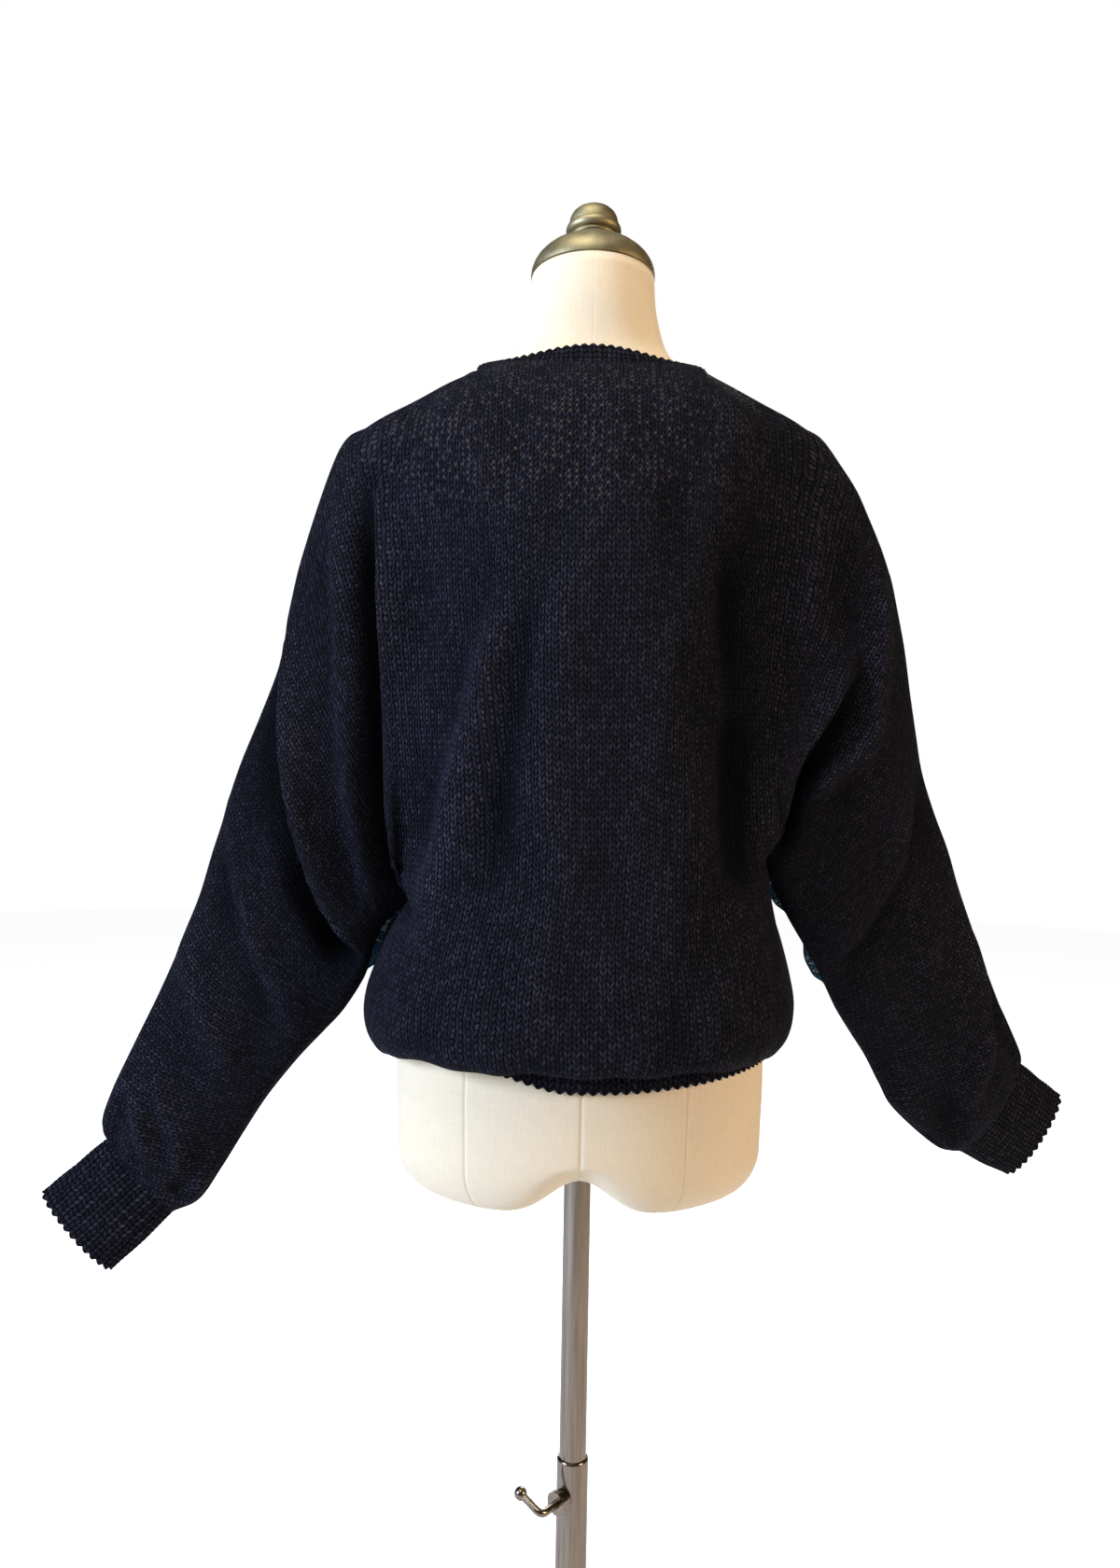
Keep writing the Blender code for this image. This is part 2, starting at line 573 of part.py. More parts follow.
def build_neckband(ring, inner, material):
    """A ribbed band that starts on the panels' rim at the neckline and closes in towards the neck."""
    k, share = even_ring(ring, NECKBAND_RIBS * 2)
    share = share[:, None]
    rim, rim_inside = (line[k] + (np.roll(line, -1, axis=0)[k] - line[k]) * share for line in (ring, inner))
    thick = unit(rim - rim_inside)
    along = unit(np.roll(rim, -1, axis=0) - np.roll(rim, 1, axis=0))
    off = unit(np.cross(along, thick))
    if (off * (rim.mean(axis=0) - rim)).sum() < 0:
        off = -off
    backs = np.clip(rim[:, 1] / NECK_DEPTH["back"], 0, 1)
    fronts = np.clip(-rim[:, 1] / NECK_DEPTH["front"], 0, 1)
    rise = (NECKBAND_RISE["side"] + (NECKBAND_RISE["back"] - NECKBAND_RISE["side"]) * backs
            + (NECKBAND_RISE["front"] - NECKBAND_RISE["side"]) * fronts)
    move = np.stack([-rim[:, 0] * NECKBAND_INWARDS[0], -rim[:, 1] * NECKBAND_INWARDS[1], rise], axis=1)
    outward = unit(np.cross(move, along))
    outward *= np.sign((outward * thick).sum(axis=1, keepdims=True))

    crest = (np.arange(NECKBAND_RIBS * 2) % 2 == 0).astype(float)[:, None]
    seam_line = rim + off * SEAM_GAP
    top = seam_line + move + unit(move) * SCALLOP * crest
    outer = [seam_line - thick * RIB_RISE * (1 - crest), top - outward * RIB_RISE * (1 - crest)]
    inside = [rim_inside + off * SEAM_GAP, top - outward * WALL]
    points, faces = ring_wall(outer, inside)
    return add_object("neckband", points, faces, material)


def build_hem_band(material):
    angle = np.linspace(0, 2 * math.pi, HEM_RIBS * 2, endpoint=False)
    depth = np.where(np.sin(angle) > 0, HEM_HALF["back"], HEM_HALF["front"])
    line = np.stack([HEM_HALF["width"] * np.cos(angle), depth * np.sin(angle), np.zeros_like(angle)], axis=1)
    outward = unit(np.stack([line[:, 0] / HEM_HALF["width"] ** 2, line[:, 1] / depth ** 2, 0 * angle],
                            axis=1))
    crest = (np.arange(HEM_RIBS * 2) % 2 == 0).astype(float)
    rows = [line + outward * BAND_WALL + np.array([0, 0, height]) for height in (HEM_BOTTOM, HEM_TOP)]
    rows[0][:, 2] += HEM_SIDE_RISE * np.cos(angle) ** 2 - SCALLOP * crest
    points, faces = ribbed(rows, outward, HEM_RIBS)
    return add_object("hem_band", points, faces, material)


# ---------------------------------------------------------------- dress form

def form_rings():
    table = columns(FORM, FORM_UNDER[::-1] + FORM_ROWS)
    angle = np.linspace(0, 2 * math.pi, FORM_SIDES, endpoint=False)
    rings = []
    for k, z in enumerate(table["z"]):
        depth = np.where(np.sin(angle) > 0, table["back"][k], table["front"][k])
        x = table["half"][k] * np.cos(angle)
        y = depth * np.sin(angle)
        arch = ARCH_HEIGHT * np.exp(-(x / ARCH_WIDTH) ** 2) * (1 - smooth_step(z, 0.722, 0.775))
        height = z + y * math.tan(math.radians(table["tilt"][k])) + arch
        rings.append(np.stack([x, y + table["shift"][k], height], axis=1))
    return rings


def build_form(linen):
    rings = form_rings()
    points, faces = loft(rings)
    points[-2] = np.array([0, 0, rings[0][:, 2].mean() + ARCH_HEIGHT * 0.2])
    torso = add_object("form_torso", points, faces, linen)
    shade_round(torso, 60)
    bpy.ops.mesh.primitive_cylinder_add(vertices=24, radius=POLE_RADIUS + FIT, depth=0.2,
                                        location=(0, 0, SOCKET_TOP + FIT - 0.1))
    socket = bpy.context.object
    socket.name = "pole_socket_cutter"
    socket.hide_render = True
    socket.display_type = "WIRE"
    cut = torso.modifiers.new("pole socket", "BOOLEAN")
    cut.operation = "DIFFERENCE"
    cut.solver = "EXACT"
    cut.object = socket

    top = columns(FORM, FORM_ROWS)
    start = np.array([0, top["shift"][-1], top["z"][-1]])
    tilt = math.radians(top["tilt"][-1])
    return start, tilt


def build_neck_hardware(start, tilt, brass):
    for name, profile in (("neck_cap", NECK_CAP), ("finial", FINIAL)):
        points, faces = loft(turned(profile, start, tilt))
        shade_round(add_object(name, points, faces, brass), 35)


# ---------------------------------------------------------------- stand

def tube(name, outer, inner, low, high, material, sides=TURNED_SIDES):
    angle = np.linspace(0, 2 * math.pi, sides, endpoint=False)
    circle = np.stack([np.cos(angle), np.sin(angle), 0 * angle], axis=1)
    rows = [np.array([0, 0, low]), np.array([0, 0, high])]
    points, faces = ring_wall([circle * outer + row for row in rows], [circle * inner + row for row in rows])
    piece = add_object(name, points, faces, material)
    shade_round(piece)
    return piece


def build_stand(steel):
    radius = POLE_RADIUS / MM
    points, faces = loft(turned(((radius, POLE_BOTTOM / MM), (radius, SOCKET_TOP / MM)), np.zeros(3)))
    shade_round(add_object("upper_pole", points, faces, steel))
    seat = BASE_THICKNESS + FIT
    tube("lower_pole", TUBE_RADIUS, TUBE_RADIUS - TUBE_WALL, seat, TUBE_TOP, steel)
    edge = BASE_RADIUS / MM
    plate = ((edge - 2, 0), (edge, 2), (edge, 5.5), (edge - 2.5, 8))
    points, faces = loft(turned(plate, np.zeros(3), sides=BASE_SIDES))
    shade_round(add_object("base_plate", points, faces, steel), 30)
    tube("base_socket", SOCKET_RADIUS, TUBE_RADIUS + FIT, seat, seat + SOCKET_HEIGHT, steel)


def build_clamp(steel):
    """A hexagonal boss on the lower pole and the bent lever that screws into it, round the clamp's axis."""
    radial = np.array([math.cos(CLAMP_ANGLE), math.sin(CLAMP_ANGLE), 0])
    sideways = np.array([math.sin(CLAMP_ANGLE), -math.cos(CLAMP_ANGLE), 0])
    up = np.array([0, 0, 1.0])
    centre = up * CLAMP_HEIGHT
    near = TUBE_RADIUS + FIT

    def rings(radii, distances, sides, start=0.0):
        angle = np.linspace(0, 2 * math.pi, sides, endpoint=False) + start
        circle = np.cos(angle)[:, None] * sideways + np.sin(angle)[:, None] * -up
        return [centre + radial * d + circle * r for r, d in zip(radii, distances)]

    corner = NUT_ACROSS / 2 / math.cos(math.pi / 6)
    hexagon = rings([corner, corner], [near, near + NUT_LENGTH], 6, math.pi / 6)
    bore_corner = (LEVER_RADIUS + FIT) / math.cos(math.pi / 6)
    bore = rings([bore_corner] * 2, [near, near + NUT_LENGTH], 6, math.pi / 6)
    points, faces = ring_wall(hexagon, bore)
    nut = add_object("clamp_nut", points, faces, steel)
    bevel = nut.modifiers.new("worn edges", "BEVEL")
    bevel.width = 0.6 * MM
    bevel.segments = 1
    bevel.limit_method = "ANGLE"
    bevel.angle_limit = math.radians(50)

    bend = centre + radial * LEVER_REACH
    arm = sideways * LEVER_ARM[0] + up * LEVER_ARM[1]
    ball = bend + arm
    path = [centre + radial * (near + 0.2 * MM), bend - radial * 7 * MM]
    corner_steps = 4
    for k in range(1, corner_steps):
        t = k / corner_steps
        path.append(bend - radial * 7 * MM * (1 - t) ** 2 + unit(arm) * 7 * MM * t ** 2)
    path += [bend + unit(arm) * 7 * MM, ball - unit(arm) * (BALL_RADIUS - 0.8 * MM)]
    side = unit(np.cross(radial, arm))
    path = np.array(path)
    heading = unit(np.gradient(path, axis=0))
    heading[0], heading[-1] = radial, unit(arm)
    rings_along = []
    angle = np.linspace(0, 2 * math.pi, 12, endpoint=False)
    for point, ahead in zip(path, heading):
        other = np.cross(ahead, side)
        circle = np.cos(angle)[:, None] * side + np.sin(angle)[:, None] * other
        rings_along.append(point + LEVER_RADIUS * circle)
    ahead = unit(arm)
    other = np.cross(ahead, side)
    for bow in np.linspace(math.asin(LEVER_RADIUS / BALL_RADIUS), math.pi - 0.35, 6):
        rings_along.append(ball - ahead * BALL_RADIUS * math.cos(bow) + BALL_RADIUS * math.sin(bow)
                           * (np.cos(angle)[:, None] * side + np.sin(angle)[:, None] * other))
    points, faces = loft(rings_along)
    lever = add_object("clamp_lever", points, faces, steel)
    shade_round(lever, 50)


def main():
    for item in list(bpy.data.objects):
        bpy.data.objects.remove(item, do_unlink=True)
    knit, rib = make_material("black knit"), make_material("black rib")
    linen, brass, steel = (make_material(name) for name in ("cream linen", "aged brass", "brushed steel"))
    neck_ring = build_pullover(knit)
    build_cuff("cuff_left", LEFT_SLEEVE, 1, rib)
    build_cuff("cuff_right", RIGHT_SLEEVE, -1, rib)
    build_neckband(*neck_ring, rib)
    build_hem_band(rib)
    start, tilt = build_form(linen)
    build_neck_hardware(start, tilt, brass)
    build_stand(steel)
    build_clamp(steel)


main()
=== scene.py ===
import math

import bmesh
import bpy
import numpy as np
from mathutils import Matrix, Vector


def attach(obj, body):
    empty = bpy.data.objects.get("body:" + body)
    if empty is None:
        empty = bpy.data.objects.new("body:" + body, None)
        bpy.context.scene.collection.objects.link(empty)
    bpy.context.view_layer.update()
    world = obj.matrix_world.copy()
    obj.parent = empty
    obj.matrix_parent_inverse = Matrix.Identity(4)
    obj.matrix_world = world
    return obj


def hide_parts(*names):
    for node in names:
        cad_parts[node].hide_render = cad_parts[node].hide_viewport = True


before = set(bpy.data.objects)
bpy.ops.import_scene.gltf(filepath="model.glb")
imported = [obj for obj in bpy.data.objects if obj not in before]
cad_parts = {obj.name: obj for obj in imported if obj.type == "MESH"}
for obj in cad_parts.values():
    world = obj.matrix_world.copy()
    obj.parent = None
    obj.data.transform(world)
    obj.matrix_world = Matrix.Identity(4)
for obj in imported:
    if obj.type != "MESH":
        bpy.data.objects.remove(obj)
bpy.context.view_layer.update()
mm = 0.001

# the cloth's tables are those of the part's source, in millimetres and degrees

leftSleeve = {  # lines across the sleeve from the overarm seam (top) over mid to the underarm seam (low)
    "topX": (230, 246, 271, 288, 297, 328, 362, 400, 443, 452, 445),
    "topZ": (1412, 1378, 1298, 1208, 1178, 1097, 981, 886, 793, 763, 748),
    "midX": (192, 206, 244, 277, 288, 306, 330, 358, 396, 406, 413),
    "midZ": (1200, 1180, 1122, 1066, 1040, 984, 903, 830, 750, 723, 713),
    "lowX": (160, 170, 187, 198, 204, 223, 262, 298, 337, 358, 382),
    "lowZ": (977, 972, 955, 928, 906, 875, 832, 786, 722, 691, 679),
    "topY": (0, 0, -2, -4, -4, -6, -8, -8, -8, -8, -8),
    "lowY": (0, 0, 0, -2, -2, -4, -6, -8, -8, -8, -8),
    "back": (54, 40, 38, 37, 21, 23, 26, 25, 22, 19, 15),
    "front": (60, 54, 46, 38, 36, 34, 30, 27, 23, 19, 15),
    "turn": (0,) * 11,
    "cells": (1, 1, 2, 1, 1, 2, 2, 2, 1, 1, 0),
}
rightSleeve = {
    "topX": (218, 257, 285, 296, 331, 366, 403, 433, 457, 464),
    "topZ": (1420, 1371, 1303, 1258, 1121, 1032, 943, 878, 826, 806),
    "midX": (190, 222, 260, 278, 292, 321, 360, 398, 428, 434),
    "midZ": (1224, 1172, 1133, 1104, 1014, 943, 869, 820, 776, 758),
    "lowX": (169, 174, 183, 198, 229, 253, 289, 325, 375, 404),
    "lowZ": (1032, 1015, 991, 964, 917, 873, 822, 763, 720, 711),
    "topY": (0, -12, -22, -28, -55, -75, -95, -112, -124, -130),
    "lowY": (0, 0, -8, -12, -35, -52, -78, -98, -118, -130),
    "back": (54, 36, 38, 26, 27, 26, 25, 24, 20, 15),
    "front": (60, 50, 42, 38, 34, 30, 28, 25, 22, 15),
    "turn": (0, 4, 8, 10, 12, 14, 18, 22, 25, 26),
    "cells": (2, 2, 1, 2, 2, 2, 2, 1, 1, 0),
}
torso = {  # the cloth round the upper body
    "z": (985, 1100, 1180, 1250, 1320, 1380, 1420, 1450, 1485),
    "left": (174, 178, 182, 188, 202, 228, 235, 200, 110),
    "right": (178, 174, 174, 180, 196, 222, 228, 196, 106),
    "back": (136, 128, 124, 122, 119, 111, 101, 87, 66),
    "front": (146, 147, 148, 141, 116, 94, 78, 64, 50),
}
lowerBody = {  # from the underarms down and under to the hem band
    "zLeft": (977, 955, 927, 898, 873, 853, 842, 846, 860, 873),
    "zMid": (985, 961, 931, 901, 877, 858, 848, 852, 863, 873),
    "zRight": (1032, 992, 950, 913, 885, 861, 849, 852, 863, 873),
    "left": (160, 181.5, 191.5, 201.5, 204, 197.5, 187.5, 181, 178.3, 177.3),
    "right": (169, 173, 187, 197, 201, 194, 184.5, 180, 178, 177.3),
    "back": (136, 139, 143, 146.5, 148.5, 148, 138, 129, 124.6, 123.7),
    "front": (146, 147.5, 149.5, 151.5, 152, 149, 134, 118, 108.8, 107.2),
}
cloth = {
    "rows": 10, "bodyColumns": 20, "neckShare": 0.4, "shoulderRound": 0.13, "drapeBlend": 26 * mm,
    "evenReach": 4, "evenPasses": 4, "torsoFall": 0.8, "webShare": 0.5, "shoulderBow": 2 * mm,
    "neckPoint": (108 * mm, 1477.5 * mm), "neckDepth": {"back": 67 * mm, "front": 68 * mm},
    "neckDrop": {"back": 12 * mm, "front": 47 * mm}, "climb": (1 * mm, 32 * mm, 0.12),
    "finer": 8, "finerLow": 6, "thickness": 2.2 * mm, "wale": 6.7 * mm, "course": 5.5 * mm, "lean": 14,
}
waist = {"rows": 18, "passes": 90, "side": 0.12, "waleRows": 40, "walePasses": 700}  # evened out below the sleeves


def srgb(code):  # hex colour to the linear values that Blender keeps
    channels = [int(code[k:k + 2], 16) / 255 for k in (1, 3, 5)]
    return (*[c / 12.92 if c <= 0.04045 else ((c + 0.055) / 1.055) ** 2.4 for c in channels], 1.0)


def unit(vector):
    vector = np.asarray(vector, float)
    return vector / np.maximum(np.linalg.norm(vector, axis=-1, keepdims=True), 1e-12)


def smoothStep(x, low, high):
    t = np.clip((x - low) / (high - low), 0, 1)
    return t * t * (3 - 2 * t)


def easeThrough(x, knownX, knownY):  # smooth curve through points that never overshoots them
    knownX, knownY = np.asarray(knownX, float), np.asarray(knownY, float)
    step = np.diff(knownX)
    slope = np.diff(knownY) / step
    tangent = np.zeros(len(knownX))
    tangent[0], tangent[-1] = slope[0], slope[-1]
    for k in range(1, len(slope)):
        if slope[k - 1] * slope[k] > 0:
            near, far = 2 * step[k] + step[k - 1], step[k] + 2 * step[k - 1]
            tangent[k] = (near + far) / (near / slope[k - 1] + far / slope[k])
    x = np.clip(x, knownX[0], knownX[-1])
    k = np.clip(np.searchsorted(knownX, x, side="right") - 1, 0, len(step) - 1)
    t = (x - knownX[k]) / step[k]
    return ((1 + 2 * t) * (1 - t) ** 2 * knownY[k] + t * (1 - t) ** 2 * step[k] * tangent[k]
            + t * t * (3 - 2 * t) * knownY[k + 1] + t * t * (t - 1) * step[k] * tangent[k + 1])


def inMetres(table):
    plain = ("turn", "cells")
    return {name: np.array(row, float) * (1 if name in plain else mm) for name, row in table.items()}


def betweenPoints(before, near, far, after, t):  # Catmull-Rom curve from near to far
    return 0.5 * (2 * near + (far - before) * t + (2 * before - 5 * near + 4 * far - after) * t ** 2
                  + (3 * near - before - 3 * far + after) * t ** 3)


def finerLine(line, times):  # curve through the rows of an array, along its first axis
    before = np.concatenate([[2 * line[0] - line[1]], line[:-1]])
    after = np.concatenate([line[1:], [2 * line[-1] - line[-2]]])
    points = [betweenPoints(before[k], line[k], line[k + 1], after[k + 1], n / times)
              for k in range(len(line) - 1) for n in range(times)]
    return np.array(points + [line[-1]])


def evenRing(ring, count):  # the same number of evenly spaced points on a closed curve
    size = np.linalg.norm(np.roll(ring, -1, axis=0) - ring, axis=1)
    reach = np.concatenate([[0], np.cumsum(size)])
    distance = np.linspace(0, reach[-1], count, endpoint=False)
    k = np.clip(np.searchsorted(reach, distance, side="right") - 1, 0, len(ring) - 1)
    before, far, after = (np.roll(ring, step, axis=0)[k] for step in (1, -1, -2))
    return betweenPoints(before, ring[k], far, after, ((distance - reach[k]) / size[k])[:, None])


def stepsAlong(grid, axis):  # distance over the cloth from the first point of each line
    steps = np.cumsum(np.linalg.norm(np.diff(grid, axis=axis), axis=2), axis=axis)
    return np.concatenate([np.zeros_like(steps.take([0], axis=axis)), steps], axis=axis)


def rowShares():
    return (1 - np.cos(np.linspace(0, math.pi, cloth["rows"] + 1))) / 2


def acrossSleeve(top, mid, low, share):  # parabola through three points of a section
    return top * (1 - share) * (1 - 2 * share) + mid * 4 * share * (1 - share) + low * share * (2 * share - 1)


def sleeveSections(rows, side):
    table = inMetres(rows)
    stops = [0.0]
    for k, cells in enumerate(table["cells"][:-1]):
        stops += [k + (n + 1) / cells for n in range(int(cells))]
    at = {name: easeThrough(np.array(stops), np.arange(len(table["topX"])), table[name])
          for name in table if name != "cells"}
    share = rowShares()[None, :]
    swell = np.sin(np.arccos(1 - 2 * share))
    along = {axis: acrossSleeve(at["top" + axis][:, None], at["mid" + axis][:, None], at["low" + axis][:, None], share)
             for axis in "XZ"}
    depth = at["topY"][:, None] * (1 - share) + at["lowY"][:, None] * share
    line = np.stack([side * along["X"], depth, along["Z"]], axis=2)
    across = unit(np.stack([side * (at["lowX"] - at["topX"]), at["lowZ"] - at["topZ"]], axis=1))
    outwards = side * np.stack([-across[:, 1], across[:, 0]], axis=1)
    turn = np.radians(at["turn"])
    facing = np.stack([np.sin(turn) * outwards[:, 0], np.cos(turn), np.sin(turn) * outwards[:, 1]], axis=1)
    back = line + (at["back"][:, None] * swell)[:, :, None] * facing[:, None, :]
    front = line - (at["front"][:, None] * swell)[:, :, None] * facing[:, None, :]
    return back, front, facing


def topEdge(c, face):
    rows = leftSleeve if c > 0 else rightSleeve
    shoulder = np.array([rows["topX"][0], rows["topZ"][0]]) * mm
    neck = np.array(cloth["neckPoint"])
    if abs(c) >= cloth["neckShare"]:
        share = (abs(c) - cloth["neckShare"]) / (1 - cloth["neckShare"])
        x, z = neck + (shoulder - neck) * share
        return math.copysign(x, c), 0.0, z + cloth["shoulderBow"] * math.sin(math.pi * share)
    turn = abs(c) / cloth["neckShare"] * math.pi / 2
    sign = 1 if face == "back" else -1
    return (math.copysign(neck[0] * math.sin(turn), c), sign * cloth["neckDepth"][face] * math.cos(turn),
            neck[1] - cloth["neckDrop"][face] * math.cos(turn) ** 2)


def torsoDepth(x, z, face):
    table = inMetres(torso)
    left, right, depth = (easeThrough(z, table["z"], table[name]) for name in ("left", "right", face))
    return depth * np.clip(1 - (x / np.where(x > 0, left, right)) ** 2, 0, 1) ** cloth["torsoFall"]


def lowerRows():
    table = inMetres(lowerBody)
    c = np.linspace(-1, 1, cloth["bodyColumns"] + 1)
    middle, half = (table["left"] - table["right"]) / 2, (table["left"] + table["right"]) / 2
    x = middle[None, :] + half[None, :] * np.sin(c * math.pi / 2)[:, None]
    sideZ = np.where(c[:, None] > 0, table["zLeft"][None, :], table["zRight"][None, :])
    z = table["zMid"] + (sideZ - table["zMid"]) * np.abs(c[:, None]) ** 3
    roundIn = np.cos(c * math.pi / 2)[:, None]
    roundIn[[0, -1]] = 0
    return {"back": np.stack([x, table["back"][None, :] * roundIn, z], axis=2),
            "front": np.stack([x, -table["front"][None, :] * roundIn, z], axis=2)}


def upperColumns(face, lower):
    share = rowShares()
    swell = np.sin(np.arccos(1 - 2 * share))
    sign = 1 if face == "back" else -1
    result = []
    for c, low in zip(np.linspace(-1, 1, cloth["bodyColumns"] + 1)[1:-1], lower[1:-1, 0]):
        x0, y0, z0 = topEdge(c, face)
        rows = leftSleeve if c > 0 else rightSleeve
        topX, midX, lowX = (rows[key][0] * mm for key in ("topX", "midX", "lowX"))
        x = acrossSleeve(topX, midX, lowX, share) * (x0 / topX + (low[0] / lowX - x0 / topX) * share ** 2.5)
        z = z0 + (low[2] - z0) * share
        webShare = cloth["webShare"] + (1 - cloth["webShare"]) * smoothStep(abs(c), 0.78, 1.0)
        web = rows[face][0] * mm * swell * webShare
        body = torsoDepth(x, z, face)
        over = (body + web + np.sqrt((body - web) ** 2 + cloth["drapeBlend"] ** 2)) / 2
        rise = np.sqrt(1 - (1 - np.clip(share / cloth["shoulderRound"], 0, 1)) ** 2)
        depth = abs(y0) + (over - abs(y0)) * rise
        depth += (abs(low[1]) - depth) * smoothStep(share, 0.72, 1.0)
        result.append(np.stack([x, sign * depth, z], axis=1))
    return np.array(result)


def evenOut(grid, folds):
    column = np.arange(len(grid))
    near = np.max([1 - smoothStep(np.abs(column - fold), 0, cloth["evenReach"] + 1) for fold in folds], axis=0)
    share = rowShares()
    amount = np.ones((len(grid), len(share), 3)) * near[:, None, None]
    amount[:, :, [0, 2]] *= (4 * share * (1 - share))[None, :, None]
    for _ in range(cloth["evenPasses"]):
        mean = (grid[:-2, 1:-1] + grid[2:, 1:-1]) / 2
        grid[1:-1, 1:-1] += (mean - grid[1:-1, 1:-1]) * amount[1:-1, 1:-1]


def pulloverGrids():  # the pullover's coarse surface, point for point as in the solids
    lower = lowerRows()
    leftBack, leftFront, leftFacing = sleeveSections(leftSleeve, 1)
    rightBack, rightFront, rightFacing = sleeveSections(rightSleeve, -1)
    upper = {"back": np.concatenate([rightBack[::-1], upperColumns("back", lower["back"]), leftBack]),
             "front": np.concatenate([rightFront[::-1], upperColumns("front", lower["front"]), leftFront])}
    first = len(rightBack) - 1
    for face in upper:
        evenOut(upper[face], (first, first + cloth["bodyColumns"]))
    ends = {"left": (leftBack, leftFront, leftFacing), "right": (rightBack, rightFront, rightFacing)}
    return upper, lower, first, ends


# folds, in millimetres: path (x, z), height, width inwards and outwards of the crest, drop outside
# it, width of the drop; inwards is towards the body
backFolds = (
    (((192, 1350), (186, 1262), (181, 1161), (177, 1082), (171, 1027), (157, 985)), 15, 24, 6, 1.6, 20),
    (((276, 1217), (276, 1127), (265, 1058), (247, 1001), (224, 956), (204, 931)), 17, 24, 6, 1.8, 22),
    (((232, 1330), (226, 1240), (222, 1150), (213, 1060), (196, 985)), 7, 22, 8, 0.8, 16),
    (((330, 1070), (322, 1000), (300, 930), (270, 870)), 6, 20, 8, 0.8, 16),
    (((372, 930), (352, 868), (322, 820)), 4, 15, 9, 0.6, 14),
    (((425, 806), (409, 766), (398, 722)), 6, 12, 7, 0.8, 12),
    (((392, 800), (376, 752), (368, 716)), 4, 12, 8, 0.7, 12),
    (((72, 1250), (97, 1140), (117, 1050), (140, 950)), 15, 24, 17, 0.9, 28),
    (((50, 1270), (60, 1180), (70, 1090), (86, 990)), -7, 17, 17, 0.2, 26),
    (((10, 1330), (22, 1200), (34, 1080), (50, 960)), 3, 26, 22, 0.3, 26),
    (((-120, 1310), (-127, 1235), (-134, 1130), (-141, 1001)), -9, 15, 22, 0.5, 30),
    (((-131, 1150), (-135, 1090), (-141, 1001)), -7, 18, 20, 0.5, 28),
    (((-243, 1200), (-214, 1150), (-191, 1112), (-175, 1069), (-165, 1031)), 14, 22, 7, 1.8, 20),
    (((-272, 1290), (-271, 1252), (-270, 1188), (-260, 1134), (-222, 1102), (-190, 1078)), 12, 12, 12, 0.6, 16),
    (((-315, 1120), (-306, 1040), (-280, 980), (-245, 930)), 7, 22, 8, 0.8, 18),
    (((-367, 992), (-394, 930), (-411, 888), (-415, 817), (-400, 772)), 8, 20, 8, 1.0, 12),
    (((-340, 960), (-352, 880), (-350, 810)), 4, 20, 10, 0.6, 16),
    (((-62, 1300), (-72, 1180), (-84, 1060), (-92, 960)), 3, 24, 22, 0.3, 26),
)
frontFolds = (
    (((205, 1330), (198, 1230), (190, 1130), (180, 1050), (164, 985)), 11, 26, 8, 0.8, 20),
    (((268, 1280), (264, 1190), (250, 1090), (225, 1000), (200, 945)), 11, 24, 8, 0.9, 20),
    (((322, 1080), (310, 1000), (286, 930), (258, 872)), 7, 20, 8, 0.8, 16),
    (((378, 920), (356, 862), (328, 818)), 4, 15, 9, 0.6, 14),
    (((428, 800), (410, 760), (398, 722)), 5, 12, 8, 0.8, 12),
    (((100, 1190), (120, 1100), (140, 1020), (150, 965)), 6, 28, 18, 0.4, 26),
    (((60, 1130), (66, 1040), (72, 940)), 3, 26, 22, 0.3, 26),
    (((-198, 1340), (-194, 1240), (-188, 1150), (-176, 1060)), 11, 24, 8, 0.8, 20),
    (((-262, 1290), (-258, 1200), (-244, 1110), (-214, 1040), (-186, 1000)), 11, 22, 8, 0.9, 18),
    (((-318, 1110), (-308, 1030), (-282, 960), (-252, 905)), 7, 20, 8, 0.8, 16),
    (((-380, 970), (-396, 900), (-398, 830)), 6, 18, 8, 0.8, 14),
    (((-96, 1190), (-118, 1100), (-136, 1030)), 6, 26, 18, 0.4, 26),
    (((-50, 1130), (-58, 1030), (-66, 930)), 3, 26, 22, 0.3, 26),
)
gathers = {  # small ripples where the cloth is gathered to a cuff or the hem band
    "cuffCount": 9, "cuffHigh": 2.2 * mm, "hemCount": 23, "hemHigh": 0.8 * mm, "hemUneven": (1.5, 17),
}
peeps = (  # where the front hangs past the underarm seams: place, width, direction and size
    (174, 965, 26, -0.75, -0.66, 13), (196, 934, 20, -0.85, -0.5, 12),
    (-183, 992, 20, 0.85, -0.5, 8), (-226, 920, 20, 0.75, -0.66, 8),
)
softWave = {"count": 9, "turn": 0.5, "long": (45 * mm, 110 * mm), "high": (0.3, 0.9)}  # millimetres high
# painted shade in the fold hollows and painted highlight on the fold crests: depth that is darkened fully, most
# darkening, crest height that is lightened fully, and how much lighter
paintedFoldShadeAndHighlightLooks = {"deep": 7 * mm, "most": 1.2, "high": 12 * mm, "crest": 0.8}


